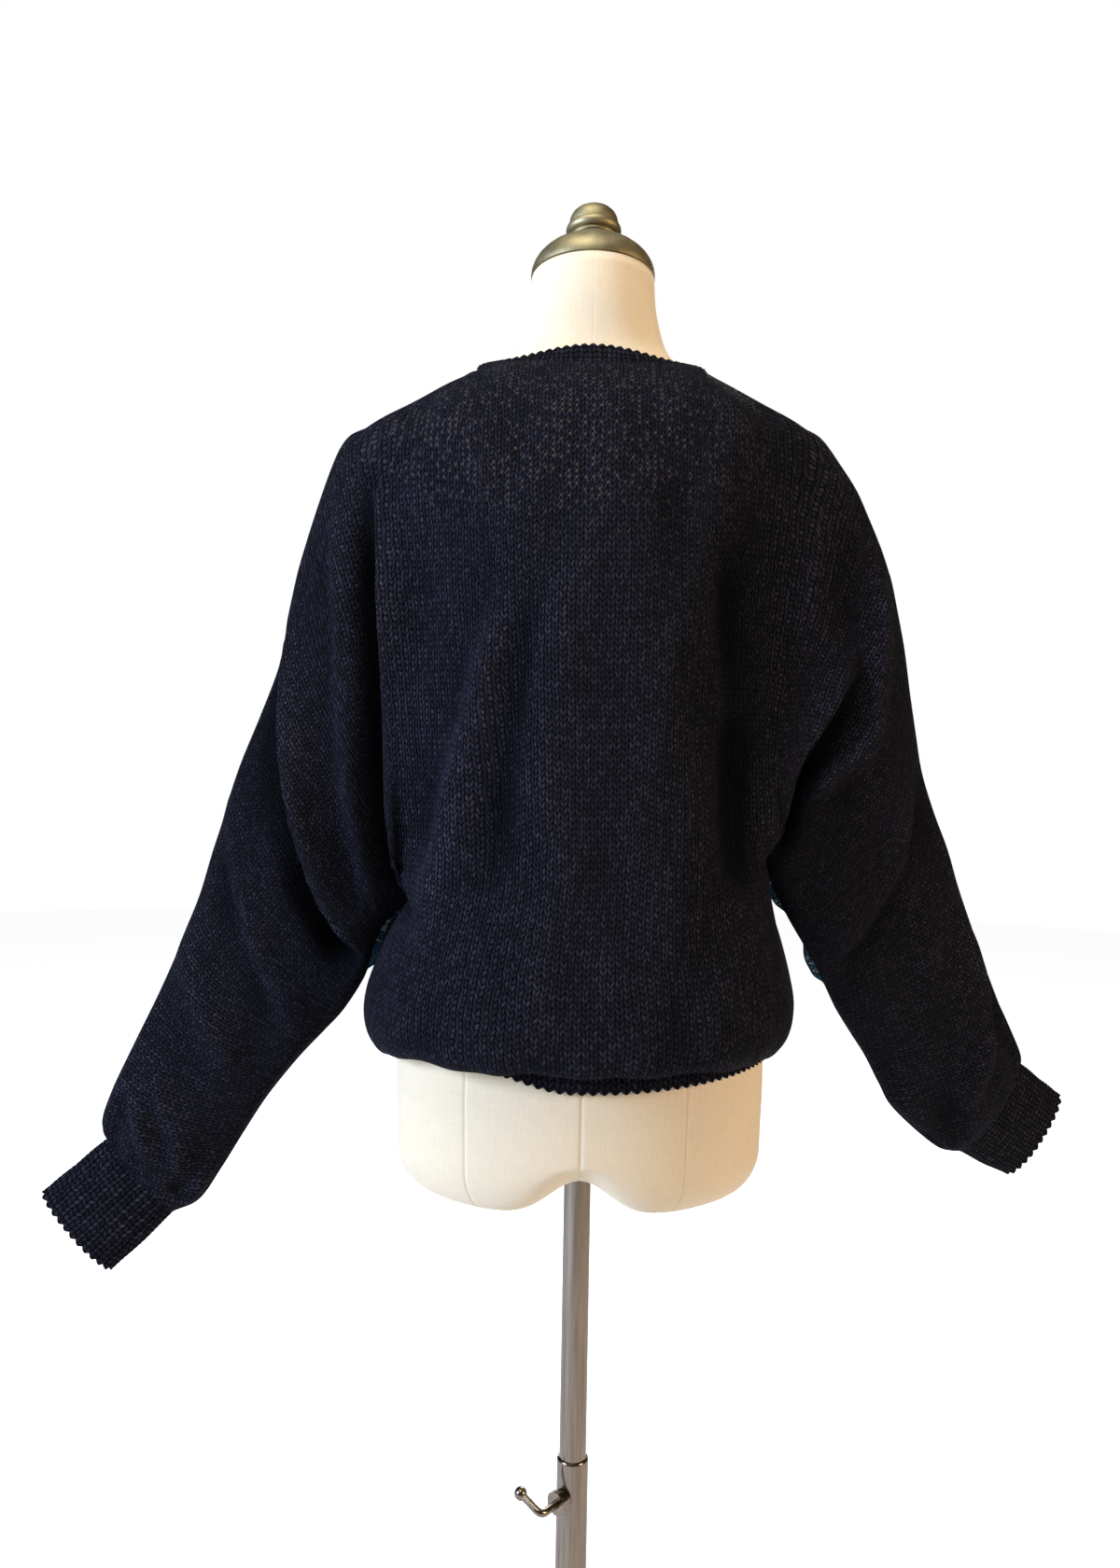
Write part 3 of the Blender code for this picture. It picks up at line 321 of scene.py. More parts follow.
def foldLift(x, z, folds):
    lift = np.zeros_like(x)
    for points, high, inner, outer, drop, dropWidth in folds:
        path = finerLine(np.array(points, float) * mm, 4)
        bestGap, side, place = np.full(x.shape, 1e9), np.zeros_like(x), np.zeros_like(x)
        for k in range(len(path) - 1):
            (ax, az), (bx, bz) = path[k], path[k + 1]
            dx, dz = bx - ax, bz - az
            t = ((x - ax) * dx + (z - az) * dz) / (dx * dx + dz * dz)
            near = np.clip(t, 0, 1)
            gap = np.hypot(x - ax - near * dx, z - az - near * dz)
            closer = gap < bestGap
            bestGap = np.where(closer, gap, bestGap)
            side = np.where(closer, (x - ax) * dz - (z - az) * dx, side)
            place = np.where(closer, (k + t) / (len(path) - 1), place)
        outwards = np.sign(side) * -np.sign(path[:, 0].mean())
        inside, crest, sunk = (np.exp(-(bestGap / (width * mm)) ** 2) for width in (inner, outer, dropWidth))
        taper = smoothStep(place, -0.12, 0.25) * (1 - smoothStep(place, 0.8, 1.12))
        lift += high * mm * np.where(outwards > 0, (1 + drop) * crest - drop * sunk, inside) * taper
    return lift


def softWaves(x, z, seed):  # low uneven waves all over
    rng = np.random.default_rng(seed)
    waves = np.zeros_like(x)
    for _ in range(softWave["count"]):
        turn, size = rng.uniform(-softWave["turn"], softWave["turn"]), rng.uniform(*softWave["long"])
        start = rng.uniform(0, 2 * math.pi)
        wave = np.sin((x * math.cos(turn) + z * math.sin(turn)) / size * 2 * math.pi + start)
        waves += wave * rng.uniform(*softWave["high"])
    return waves * mm


def gridNormals(grid, outward):
    normal = unit(np.cross(np.gradient(grid, axis=0), np.gradient(grid, axis=1)))
    return normal * np.sign((normal[..., 1] * outward).sum())


def evenWaist(fine, low, start, stop):  # evens out the cloth where the upper body meets the blouse
    body = np.concatenate([fine[start:stop + 1], low[:, 1:]], axis=1)
    level = np.arange(body.shape[1]) - fine.shape[1] + 1
    near = np.exp(-(level / waist["rows"]) ** 2)[None, 1:-1, None]
    inner = smoothStep(1 - np.abs(np.linspace(-1, 1, len(body))), 0, waist["side"])[:, None, None]
    amount = near * np.concatenate([inner, np.ones_like(inner), inner], axis=2)
    for _ in range(waist["passes"]):
        body[:, 1:-1] += ((body[:, :-2] + body[:, 2:]) / 2 - body[:, 1:-1]) * amount
    fine[start:stop + 1] = body[:, :fine.shape[1]]
    return body[:, fine.shape[1] - 1:].copy(), level, inner[..., 0]


def liftUpper(fine, face, start, stop, folds, seed):
    outward, times = (1 if face == "back" else -1), cloth["finer"]
    rows = np.arange(fine.shape[1]) / (fine.shape[1] - 1)
    column = np.arange(len(fine))
    bottom = 1 - smoothStep(rows, 0.86, 1)
    onBody = smoothStep(column, start, start + 2 * times) * (1 - smoothStep(column, stop - 2 * times, stop))
    fromEnd = np.minimum(column, len(fine) - 1 - column) / times
    edge = smoothStep(rows, 0, 0.16)[None, :] * (bottom[None, :] + (1 - bottom[None, :]) * onBody[:, None])
    edge = edge * smoothStep(fromEnd, 0, 1.2)[:, None]
    lift = foldLift(fine[..., 0], fine[..., 2], folds) + softWaves(fine[..., 0], fine[..., 2], seed)
    ripple = np.sin(rows * math.pi * gathers["cuffCount"] + seed)[None, :] * gathers["cuffHigh"]
    lift += ripple * (smoothStep(fromEnd, 0, 1) * (1 - smoothStep(fromEnd, 1, 4)))[:, None]
    lift *= edge
    fine = fine + gridNormals(fine, outward) * lift[..., None]
    if face == "front":
        x, z = fine[..., 0] / mm, fine[..., 2] / mm
        out = np.zeros_like(fine)
        for px, pz, wide, dx, dz, size in peeps:
            near = np.exp(-(((x - px) ** 2 + (z - pz) ** 2) / wide ** 2) ** 2)
            out += near[..., None] * np.array([dx, 0.35, dz]) * size * mm
        fine = fine + out * np.sin(math.pi * np.clip((rows - 0.86) / 0.14, 0, 1))[None, :, None]
    return fine, lift


def liftLower(low, face, folds, seed):
    outward = 1 if face == "back" else -1
    rows = np.arange(low.shape[1]) / (low.shape[1] - 1)
    column = np.arange(len(low)) / (len(low) - 1)
    keep = (np.sin(column * math.pi) ** 0.5)[:, None] * (1 - smoothStep(rows, 0.8, 1))[None, :]
    lift = foldLift(low[..., 0], low[..., 2], folds) + softWaves(low[..., 0], low[..., 2], seed)
    uneven, often = gathers["hemUneven"]
    pleats = np.sin(column * math.pi * gathers["hemCount"] + uneven * np.sin(column * often + seed))
    lift += pleats[:, None] * gathers["hemHigh"] * smoothStep(rows, 0.35, 0.75)[None, :]
    lift *= keep
    return low + gridNormals(low, outward) * lift[..., None], lift


def knitPlaces(fine, low, start, stop, level, inner):
    # distance along wales and courses, so that the knitting turns with the drooping sleeves
    down = stepsAlong(fine, 1)
    over = stepsAlong(fine[:, [fine.shape[1] // 2]], 0)
    over -= over[(start + stop) // 2]
    alongRows = stepsAlong(fine, 0)
    alongRows -= alongRows[(start + stop) // 2]
    lean = math.tan(math.radians(cloth["lean"]))
    onSleeve = over + lean * np.sign(over) * (down - down[:, -1:] / 2)
    rows = np.arange(fine.shape[1]) / (fine.shape[1] - 1)
    reach = cloth["finer"] * (4 - 3 * smoothStep(rows, 0.15, 0.5))[None, :]
    column = np.arange(len(fine))
    body = smoothStep(np.minimum(column - start, stop - column)[:, None] / reach, -1, 1)
    across = alongRows * body + onSleeve * (1 - body)
    acrossLow = stepsAlong(low, 0)
    acrossLow -= acrossLow[len(low) // 2]
    wales = np.concatenate([across[start:stop + 1], acrossLow[:, 1:]], axis=1)
    far = np.exp(-(level / waist["waleRows"]) ** 2)[None, 1:-1] * inner
    for _ in range(waist["walePasses"]):  # keeps the wales straight past the underarms
        wales[:, 1:-1] += ((wales[:, :-2] + wales[:, 2:]) / 2 - wales[:, 1:-1]) * far
    across[start:stop + 1] = wales[:, :fine.shape[1]]
    downLow = down[start:stop + 1, -1:] + stepsAlong(low, 1)
    return np.concatenate([np.stack([across, down], axis=2).reshape(-1, 2),
                           np.stack([wales[:, fine.shape[1]:], downLow[:, 1:]], axis=2).reshape(-1, 2)])


def addPiece(name, data, material=None):
    piece = bpy.data.objects.new(name, data)
    bpy.context.scene.collection.objects.link(piece)
    if material:
        data.materials.append(material)
    return piece


def clothMesh(name, points, faces, places, closed=False):
    mesh = bpy.data.meshes.new(name)
    mesh.from_pydata(points.tolist(), [], faces.tolist())
    if closed:  # a wall all round, whose faces have to point outwards
        shape = bmesh.new()
        shape.from_mesh(mesh)
        bmesh.ops.recalc_face_normals(shape, faces=shape.faces)
        shape.to_mesh(mesh)
        shape.free()
    layer = mesh.uv_layers.new(name="knitting")
    corner = np.zeros(len(mesh.loops), int)
    mesh.loops.foreach_get("vertex_index", corner)
    layer.data.foreach_set("uv", places[corner].astype(np.float32).ravel())
    mesh.shade_smooth()
    return mesh


def addAttribute(piece, name, values):
    layer = piece.data.attributes.new(name, "FLOAT", "POINT")
    layer.data.foreach_set("value", np.asarray(values, np.float32))


def makePanel(name, face, folds, seed):
    times, outward = cloth["finer"], (1 if face == "back" else -1)
    fine = finerLine(finerLine(upper[face], times).swapaxes(0, 1), times).swapaxes(0, 1)
    low = finerLine(finerLine(lower[face], times).swapaxes(0, 1), cloth["finerLow"]).swapaxes(0, 1)
    start, stop = first * times, (first + cloth["bodyColumns"]) * times
    low[0], low[-1] = low[0] * (1, 0, 1), low[-1] * (1, 0, 1)
    low[:, 0] = fine[start:stop + 1, -1]
    low, level, inner = evenWaist(fine, low, start, stop)
    fine, lift = liftUpper(fine, face, start, stop, folds, seed)
    low, liftLow = liftLower(low, face, folds, seed)
    low[:, 0] = fine[start:stop + 1, -1]
    points = np.concatenate([fine.reshape(-1, 3), low[:, 1:].reshape(-1, 3)])
    index = np.arange(fine.size // 3).reshape(fine.shape[:2])
    lowIndex = index.size + np.arange(low[:, 1:].size // 3).reshape(len(low), -1)
    lowIndex = np.concatenate([index[start:stop + 1, -1:], lowIndex], axis=1)
    quads = np.concatenate([np.stack([k[:-1, :-1], k[1:, :-1], k[1:, 1:], k[:-1, 1:]], axis=2).reshape(-1, 4)
                            for k in (index, lowIndex)])
    facing = np.cross(points[quads[:, 2]] - points[quads[:, 0]], points[quads[:, 3]] - points[quads[:, 1]])
    if (facing[:, 1] * outward).sum() < 0:
        quads = quads[:, ::-1]
    places = knitPlaces(fine, low, start, stop, level, inner)
    panel = addPiece(name, clothMesh(name, points, quads, places))
    wall = panel.modifiers.new("cloth", "SOLIDIFY")
    wall.thickness, wall.offset, wall.use_even_offset = cloth["thickness"], -1, False
    # painted shade in the fold hollows and painted highlight on the fold crests, kept on the points for the knit's
    # colour
    lifts = np.concatenate([lift.ravel(), liftLow[:, 1:].ravel()])
    hollow = np.clip(-lifts / paintedFoldShadeAndHighlightLooks["deep"], 0, paintedFoldShadeAndHighlightLooks["most"])
    addAttribute(panel, "crease", hollow - paintedFoldShadeAndHighlightLooks["crest"] * np.clip(lifts / paintedFoldShadeAndHighlightLooks["high"], 0, 1))
    return panel, points


upper, lower, first, cuffEnds = pulloverGrids()
for sheet in upper.values():  # the cloth climbs a little where the shoulders meet the neckband
    high, wide, reach = cloth["climb"]
    climb = np.exp(-((np.abs(sheet[..., 0]) - cloth["neckPoint"][0]) / wide) ** 2)
    sheet[..., 2] += high * climb * (1 - smoothStep(rowShares(), 0, reach))[None, :]
knitBack, backPoints = makePanel("knitBack", "back", backFolds, 3)
knitFront, frontPoints = makePanel("knitFront", "front", frontFolds, 8)
print("panels", len(backPoints), len(frontPoints))

sheer = {"middle": (30, 1400), "half": (230, 110)}  # where the light form shows through the stretched knit
accents = (  # a row of light blue blocks across the front: place and half size
    (172, 955, 30, 38), (202, 922, 24, 28), (118, 985, 25, 30), (39, 985, 25, 30), (-40, 985, 25, 30),
    (-119, 985, 25, 30), (-188, 994, 22, 32), (-229, 918, 22, 26),
)
for panel, points in ((knitBack, backPoints), (knitFront, frontPoints)):
    px, pz = points[:, 0] / mm, points[:, 2] / mm
    away = ((px - sheer["middle"][0]) / sheer["half"][0]) ** 2 + ((pz - sheer["middle"][1]) / sheer["half"][1]) ** 2
    addAttribute(panel, "sheer", 1 - smoothStep(away, 0.15, 1.1))
    accent = np.zeros(len(points))
    for ax, az, aw, ah in accents:
        accent = np.maximum(accent, 1 - smoothStep(((px - ax) / aw) ** 6 + ((pz - az) / ah) ** 6, 0.3, 1.7))
    addAttribute(panel, "accent", accent * (panel is knitFront))


def addNode(tree, kind, settings, *sources):
    # one node with its settings and links, such as "TexNoise" or "Math.ADD"; sources go into its first sockets
    kind, _, operation = kind.partition(".")
    node = tree.nodes.new("ShaderNode" + kind)
    if operation:
        node.operation = operation
    for place, value in [*settings.items(), *enumerate(sources)]:
        if isinstance(place, str) and place not in node.inputs:
            setattr(node, place, value)
        elif isinstance(value, bpy.types.NodeSocket):
            tree.links.new(value, node.inputs[place])
        else:
            node.inputs[place].default_value = value
    return node.outputs


def newMaterial(name, settings):
    material = bpy.data.materials.new(name)
    material.use_nodes = True
    inputs = material.node_tree.nodes["Principled BSDF"].inputs
    for place, value in settings.items():
        inputs[place].default_value = value
    return material, material.node_tree, inputs


# the knit's colours and pattern; one entry sets how strongly the painted fold shade and painted highlight change the
# knit's colour
# the near-black gap colour and its edge paint shade between the stitches
knitLooks = {
    "yarn": "#050608", "light": "#323039", "gap": "#000001", "cream": "#5f5446", "nap": "#9aa4c0",
    "accent": "#3c7187", "fleck": "#cfc7b4", "fleckShare": 0.86, "edge": (0.4, 0.7), "bump": 1.0, "depth": 3.6 * mm,
    "sway": 6.5 * mm, "legPlace": 0.235, "legNarrow": 3.6, "legRound": 2.6, "legSoft": 0.6, "legEnd": 0.2,
    "holeHalf": (0.17, 0.27), "uneven": 0.25, "brightLegs": 0.6, "paintedFoldShadingStrength": 0.75, "sheerShare": 0.42,
    "sheerLeast": 0.1, "gapShadeEdge": (0.5, 1.0), "fuzz": 0.35,
}


def addSteps(tree, made, steps):  # a table of nodes: result, kind, then sources that are numbers or earlier results
    for name, kind, *sources in steps:
        made[name] = addNode(tree, kind, {}, *(made.get(source, source) for source in sources))[0]


def stitchPattern(tree, wale, course, slant):
    # stockinette: each wale is two rows of slanting legs that meet in a V, with a hole between the wales
    place = addNode(tree, "UVMap", {"uv_map": "knitting"})[0]
    noise = addNode(tree, "TexNoise", {"Scale": 60.0, "Detail": 4.0, "Roughness": 0.65, "Vector": place})[0]
    parts = addNode(tree, "SeparateXYZ", {}, place)
    made = {"place": place, "noise": noise, "x": parts[0], "y": parts[1]}
    narrow, legRound, (holeWide, holeHigh) = (knitLooks[key] for key in ("legNarrow", "legRound", "holeHalf"))
    addSteps(tree, made, (
        ("sway", "Math.SUBTRACT", "noise", 0.5), ("sway", "Math.MULTIPLY", "sway", knitLooks["sway"]),
        ("wales", "Math.ADD", "x", "sway"), ("wales", "Math.DIVIDE", "wales", wale),
        ("courses", "Math.DIVIDE", "y", course),
        ("inWale", "Math.FRACT", "wales"), ("inWale", "Math.SUBTRACT", "inWale", 0.5),
        ("middle", "Math.ABSOLUTE", "inWale"),
        ("slanted", "Math.MULTIPLY", "middle", slant), ("slanted", "Math.ADD", "courses", "slanted"),
        ("along", "Math.FRACT", "slanted"), ("along", "Math.MULTIPLY", "along", 2),
        ("along", "Math.SUBTRACT", "along", 1), ("along", "Math.ABSOLUTE", "along"),
        ("along", "Math.POWER", "along", legRound), ("along", "Math.SUBTRACT", 1, "along"),
        ("across", "Math.SUBTRACT", "middle", knitLooks["legPlace"]), ("across", "Math.MULTIPLY", "across", narrow),
        ("across", "Math.ABSOLUTE", "across"), ("across", "Math.POWER", "across", legRound),
        ("across", "Math.SUBTRACT", 1, "across"),
        ("height", "Math.MULTIPLY", "along", 1 - knitLooks["legEnd"]),
        ("height", "Math.ADD", "height", knitLooks["legEnd"]), ("height", "Math.MULTIPLY", "height", "across"),
        ("height", "Math.MAXIMUM", "height", 0.0), ("height", "Math.POWER", "height", knitLooks["legSoft"]),
        ("wide", "Math.SUBTRACT", 0.5, "middle"), ("wide", "Math.DIVIDE", "wide", holeWide),
        ("wide", "Math.POWER", "wide", 2),
        ("high", "Math.FRACT", "courses"), ("high", "Math.SUBTRACT", "high", 0.5),
        ("high", "Math.DIVIDE", "high", holeHigh), ("high", "Math.ABSOLUTE", "high"),
        ("high", "Math.POWER", "high", 2), ("hole", "Math.ADD", "wide", "high"),
        ("hole", "Math.LESS_THAN", "hole", 1.0),
        ("stitchX", "Math.ADD", "wales", 0.5), ("stitchX", "Math.FLOOR", "stitchX"),
        ("stitchY", "Math.FLOOR", "courses"), ("stitch", "CombineXYZ", "stitchX", "stitchY"),
        ("legX", "Math.MULTIPLY", "wales", 2), ("legX", "Math.FLOOR", "legX"), ("legY", "Math.FLOOR", "slanted"),
        ("leg", "CombineXYZ", "legX", "legY"),
    ))
    for name in ("stitch", "leg"):  # a random number for each stitch and for each leg
        made[name] = addNode(tree, "TexWhiteNoise", {"noise_dimensions": "2D", "Vector": made[name]})[0]
    return made


def knitMaterial(name, wale, course, slant, isPanel):
    # wool blend, softly spun and knitted: matt, with a short nap that catches light at the edges
    material, tree, inputs = newMaterial(name, {
        "Roughness": 0.72, "Sheen Weight": 0.01, "Sheen Roughness": 0.5, "Sheen Tint": srgb(knitLooks["nap"]),
        "Specular IOR Level": 0.05})
    made = stitchPattern(tree, wale, course, slant)
    for result, settings in (("fuzz", {"Scale": 900.0, "Detail": 3.0, "Roughness": 0.7}),
                             ("cloudy", {"Scale": 14.0, "Detail": 2.0})):
        made[result] = addNode(tree, "TexNoise", {**settings, "Vector": made["place"]})[0]
    addSteps(tree, made, (
        ("lit", "Math.ADD", "fuzz", "cloudy"), ("lit", "Math.MULTIPLY", "lit", knitLooks["uneven"]),
        ("bright", "Math.POWER", "leg", 2), ("bright", "Math.MULTIPLY", "bright", knitLooks["brightLegs"]),
        ("lit", "Math.ADD", "lit", "bright"),
    ))
    colour = addNode(tree, "Mix", {"data_type": "RGBA", 6: srgb(knitLooks["yarn"]), 7: srgb(knitLooks["light"])},
                     made["lit"])[2]
    if isPanel:
        for key in ("crease", "accent", "sheer"):
            made[key] = addNode(tree, "Attribute", {"attribute_name": key})["Fac"]
        spread, least = knitLooks["edge"]
        addSteps(tree, made, (
            ("shade", "Math.MULTIPLY", "crease", knitLooks["paintedFoldShadingStrength"]), ("shade", "Math.SUBTRACT", 1, "shade"),
            ("fleck", "Math.GREATER_THAN", "stitch", knitLooks["fleckShare"]),
            ("edge", "Math.MULTIPLY", "stitch", spread), ("edge", "Math.ADD", "accent", "edge"),
            ("edge", "Math.GREATER_THAN", "edge", least),
            ("patchy", "Math.MULTIPLY", "sheer", knitLooks["sheerShare"]), ("patchy", "Math.ADD", "patchy", "cloudy"),
            ("patchy", "Math.SUBTRACT", "patchy", 0.5), ("open", "Math.LESS_THAN", "stitch", "patchy"),
            ("strength", "Math.ADD", "fuzz", knitLooks["sheerLeast"]),
            ("strength", "Math.MULTIPLY", "sheer", "strength"), ("open", "Math.MULTIPLY", "hole", "open"),
            ("open", "Math.MULTIPLY", "open", "strength"),
        ))
        # painted shade in the fold hollows and painted highlight on the fold crests, multiplied into the knit's colour
        colour = addNode(tree, "VectorMath.SCALE", {"Scale": made["shade"]}, colour)[0]
        blue = addNode(tree, "Mix", {"data_type": "RGBA", 6: srgb(knitLooks["accent"]), 7: srgb(knitLooks["fleck"])},
                       made["fleck"])[2]
        colour = addNode(tree, "Mix", {"data_type": "RGBA", 6: colour, 7: blue}, made["edge"])[2]
    # painted shade between the stitches: the colour goes towards near black where the stitch relief is low
    low, high = knitLooks["gapShadeEdge"]
    spread = addNode(tree, "MapRange", {"From Min": low, "From Max": high}, made["height"])[0]
    colour = addNode(tree, "Mix", {"data_type": "RGBA", 6: srgb(knitLooks["gap"]), 7: colour}, spread)[2]
    if isPanel:
        colour = addNode(tree, "Mix", {"data_type": "RGBA", 6: colour, 7: srgb(knitLooks["cream"])}, made["open"])[2]
    addSteps(tree, made, (("relief", "Math.MULTIPLY", "fuzz", knitLooks["fuzz"]),
                          ("relief", "Math.ADD", "height", "relief")))
    bump = addNode(tree, "Bump", {"Strength": knitLooks["bump"], "Distance": knitLooks["depth"],
                                  "Height": made["relief"]})[0]
    tree.links.new(colour, inputs["Base Color"])
    tree.links.new(bump, inputs["Normal"])
    return material


ribPattern = {"wale": 8.0 * mm, "course": 5.5 * mm, "slant": 1.2, "twist": 0.55 * mm, "lean": 0.35, "round": 1.2}
knitMat = knitMaterial("woolBlendStockinette", cloth["wale"], cloth["course"], 1.5, True)
ribMat = knitMaterial("woolBlendRib", ribPattern["wale"], ribPattern["course"], ribPattern["slant"], False)
for panel in (knitBack, knitFront):
    panel.data.materials.append(knitMat)
print("knit materials")


def ringFaces(levels, count):  # quads between rings of points and from the last ring to the first
    index = np.arange(levels * count).reshape(levels, count)
    beside = np.roll(index, -1, axis=1)
    quads = np.stack([index, beside, np.roll(beside, -1, axis=0), np.roll(index, -1, axis=0)], axis=2)
    return quads.reshape(-1, 4)


def ribBand(name, rings, outward, places, looks):  # a wall all round: twisted ribs outside, plain inside
    rings, places = np.array(rings), np.array(places)
    levels, count = rings.shape[:2]
    phase = np.arange(count) / count * looks["ribs"]
    crest = (np.abs(np.cos(phase * math.pi)) ** ribPattern["round"])[None, :]
    turns = places[:, None] / ribPattern["course"] + ribPattern["lean"] * np.sin(phase * 2 * math.pi)[None, :]
    lift = looks["rise"] * (crest - 1) + ribPattern["twist"] * (0.5 + 0.5 * np.cos(2 * math.pi * turns)) * crest
    profile = np.concatenate([rings + outward * lift[..., None], (rings - outward * looks["wall"])[::-1]])
    along = np.repeat(np.concatenate([places, places[::-1]]), count)
    knitting = np.stack([np.tile(phase * ribPattern["wale"], 2 * levels), along], axis=1)
    mesh = clothMesh(name, profile.reshape(-1, 3), ringFaces(2 * levels, count), knitting, True)
    return addPiece(name, mesh, ribMat)


cuff = {"ribs": 24, "length": 81 * mm, "flare": {"left": 1.06, "right": 0.92}, "wall": 2.2 * mm, "gap": 0.3 * mm,
        "rise": 1.5 * mm, "scallop": 2.0 * mm, "perRib": 12, "levels": 34, "tuck": 2.6 * mm}


def makeCuff(name, side):
    back, front, facing = cuffEnds[side]
    ring = np.concatenate([back[-1], front[-1][-2:0:-1]])
    centre = ring.mean(axis=0)
    axis = unit(np.cross(unit(back[-1][-1] - back[-1][0]), facing[-1])) * (1 if side == "left" else -1)
    flat = (ring - centre) - ((ring - centre) @ axis)[:, None] * axis
    smooth = evenRing(flat, cuff["ribs"] * cuff["perRib"])
    outward = unit(np.cross(np.roll(smooth, -1, axis=0) - np.roll(smooth, 1, axis=0), axis))
    if (outward * smooth).sum() < 0:
        outward = -outward
    phase = np.arange(len(smooth)) / cuff["perRib"]
    crest = np.abs(np.cos(phase * math.pi))
    rings, places = [], np.linspace(cuff["gap"], cuff["length"], cuff["levels"])
    for place in places:
        share = place / cuff["length"]
        scale = (1 + (cuff["flare"][side] - 1) * share) * (1 + 0.012 * np.sin(share * 7 + phase * 0.9))
        end = cuff["scallop"] * (crest - 0.5) * smoothStep(share, 0.86, 1.0)
        rings.append(centre + smooth * scale[:, None] + axis * (place + end)[:, None])
    rings.insert(0, rings[0] - (outward + axis) * cuff["tuck"])  # a narrow lip inside the sleeve
    return ribBand(name, rings, outward, np.concatenate([[-cuff["tuck"]], places]), cuff)


cuffLeft, cuffRight = makeCuff("cuffLeft", "left"), makeCuff("cuffRight", "right")

neckband = {"ribs": 66, "height": {"back": 18 * mm, "side": 2 * mm, "front": 12 * mm}, "inwards": (0.08, 0.1),
            "backOnly": 5, "perRib": 8, "levels": 9, "wall": 2.2 * mm, "rise": 1.2 * mm, "scallop": 1.4 * mm}


def makeNeckband():
    places = np.linspace(-1, 1, cloth["bodyColumns"] + 1)
    inNeck = [first + k for k, c in enumerate(places) if abs(c) < cloth["neckShare"] - 1e-6]
    ends = range(min(inNeck) - 1, max(inNeck) + 2)
    ring = np.array([upper["back"][i, 0] for i in ends] + [upper["front"][i, 0] for i in ends[-2:0:-1]])
    rim = evenRing(ring, neckband["ribs"] * neckband["perRib"])
    backs = np.clip(rim[:, 1] / cloth["neckDepth"]["back"], 0, 1) ** neckband["backOnly"]
    fronts = np.clip(-rim[:, 1] / cloth["neckDepth"]["front"], 0, 1)
    high = neckband["height"]
    up = high["side"] + (high["back"] - high["side"]) * backs + (high["front"] - high["side"]) * fronts
    move = np.stack([-rim[:, 0] * neckband["inwards"][0], -rim[:, 1] * neckband["inwards"][1], up], axis=1)
    outward = unit(np.cross(move, unit(np.roll(rim, -1, axis=0) - np.roll(rim, 1, axis=0))))
    away = np.stack([rim[:, 0], rim[:, 1], 0.3 * np.abs(rim[:, 0]) + 0.01], axis=1)
    outward *= np.sign((outward * away).sum(axis=1, keepdims=True))
    crest = np.abs(np.cos(np.arange(len(rim)) / neckband["perRib"] * math.pi))
    rings, heights = [], np.linspace(0, 1, neckband["levels"])
    for share in heights:
        end = neckband["scallop"] * (crest - 0.5) * smoothStep(share, 0.7, 1.0)
        rings.append(rim + move * (0.01 + 0.99 * share) + unit(move) * end[:, None])
    return ribBand("neckRib", rings, outward, heights * high["back"], neckband)


neckRib = makeNeckband()

hemBand = {"ribs": 116, "bottom": 831 * mm, "top": 873 * mm, "sideRise": 14 * mm, "leftRise": 12 * mm,
           "width": 172.1 * mm, "back": 118.6 * mm, "front": 102.1 * mm, "wall": 2.0 * mm, "rise": 1.3 * mm,
           "scallop": 2.6 * mm, "perRib": 8, "levels": 12}


def makeHemBand():
    count = hemBand["ribs"] * hemBand["perRib"]
    angle = np.linspace(0, 2 * math.pi, count, endpoint=False)
    depth = np.where(np.sin(angle) > 0, hemBand["back"], hemBand["front"])
    line = np.stack([hemBand["width"] * np.cos(angle), depth * np.sin(angle), 0 * angle], axis=1)
    outward = unit(np.stack([line[:, 0] / hemBand["width"] ** 2, line[:, 1] / depth ** 2, 0 * angle], axis=1))
    crest = np.abs(np.cos(np.arange(count) / hemBand["perRib"] * math.pi))
    low = hemBand["bottom"] + hemBand["sideRise"] * np.cos(angle) ** 2
    low += hemBand["leftRise"] * smoothStep(np.cos(angle), 0.05, 0.5)
    rings, heights = [], np.linspace(0, 1, hemBand["levels"])
    for share in heights:
        z = low + (hemBand["top"] - low) * share
        z -= hemBand["scallop"] * (crest - 0.5) * (1 - smoothStep(share, 0, 0.25))
        rings.append(line + outward * (hemBand["wall"] + hemBand["rise"]) + z[:, None] * np.array([0, 0, 1.0]))
    return ribBand("hemRib", rings, outward, heights * (hemBand["top"] - hemBand["bottom"]), hemBand)


hemRib = makeHemBand()
print("bands")


def finishShape(name, shape, material, sharp=None):
    bmesh.ops.recalc_face_normals(shape, faces=shape.faces)
    mesh = bpy.data.meshes.new(name)
    shape.to_mesh(mesh)
    shape.free()
    mesh.shade_smooth()
    if sharp:
        mesh.set_sharp_from_angle(angle=math.radians(sharp))
    return addPiece(name, mesh, material)


def loftRings(name, rings, material, sharp=None, hollow=False, tips=()):
    # walls from ring to ring, closed by tips, by flat ends or, if hollow, by a wall from the last ring to the first
    levels, count = len(rings), len(rings[0])
    faces = ringFaces(levels, count).tolist()
    ends = [[k + i for i in range(count)] for k in (0, (levels - 1) * count)]
    if not hollow:
        faces = faces[:-count]
        for end, tip in zip(ends, (levels * count, levels * count + 1)):
            faces += [(near, far, tip) for near, far in zip(end, end[1:] + end[:1])] if tips else [end]
    shape = bmesh.new()
    verts = [shape.verts.new(point) for point in [*np.concatenate(rings), *tips]]
    for face in faces:
        shape.faces.new([verts[k] for k in face])
    return finishShape(name, shape, material, sharp)


linenLooks = {"base": "#dbc8a2", "shade": "#cfbc97", "stretch": ((1, 1, 22), (14, 14, 1)), "scale": 60.0,
              "relief": 0.5 * mm}


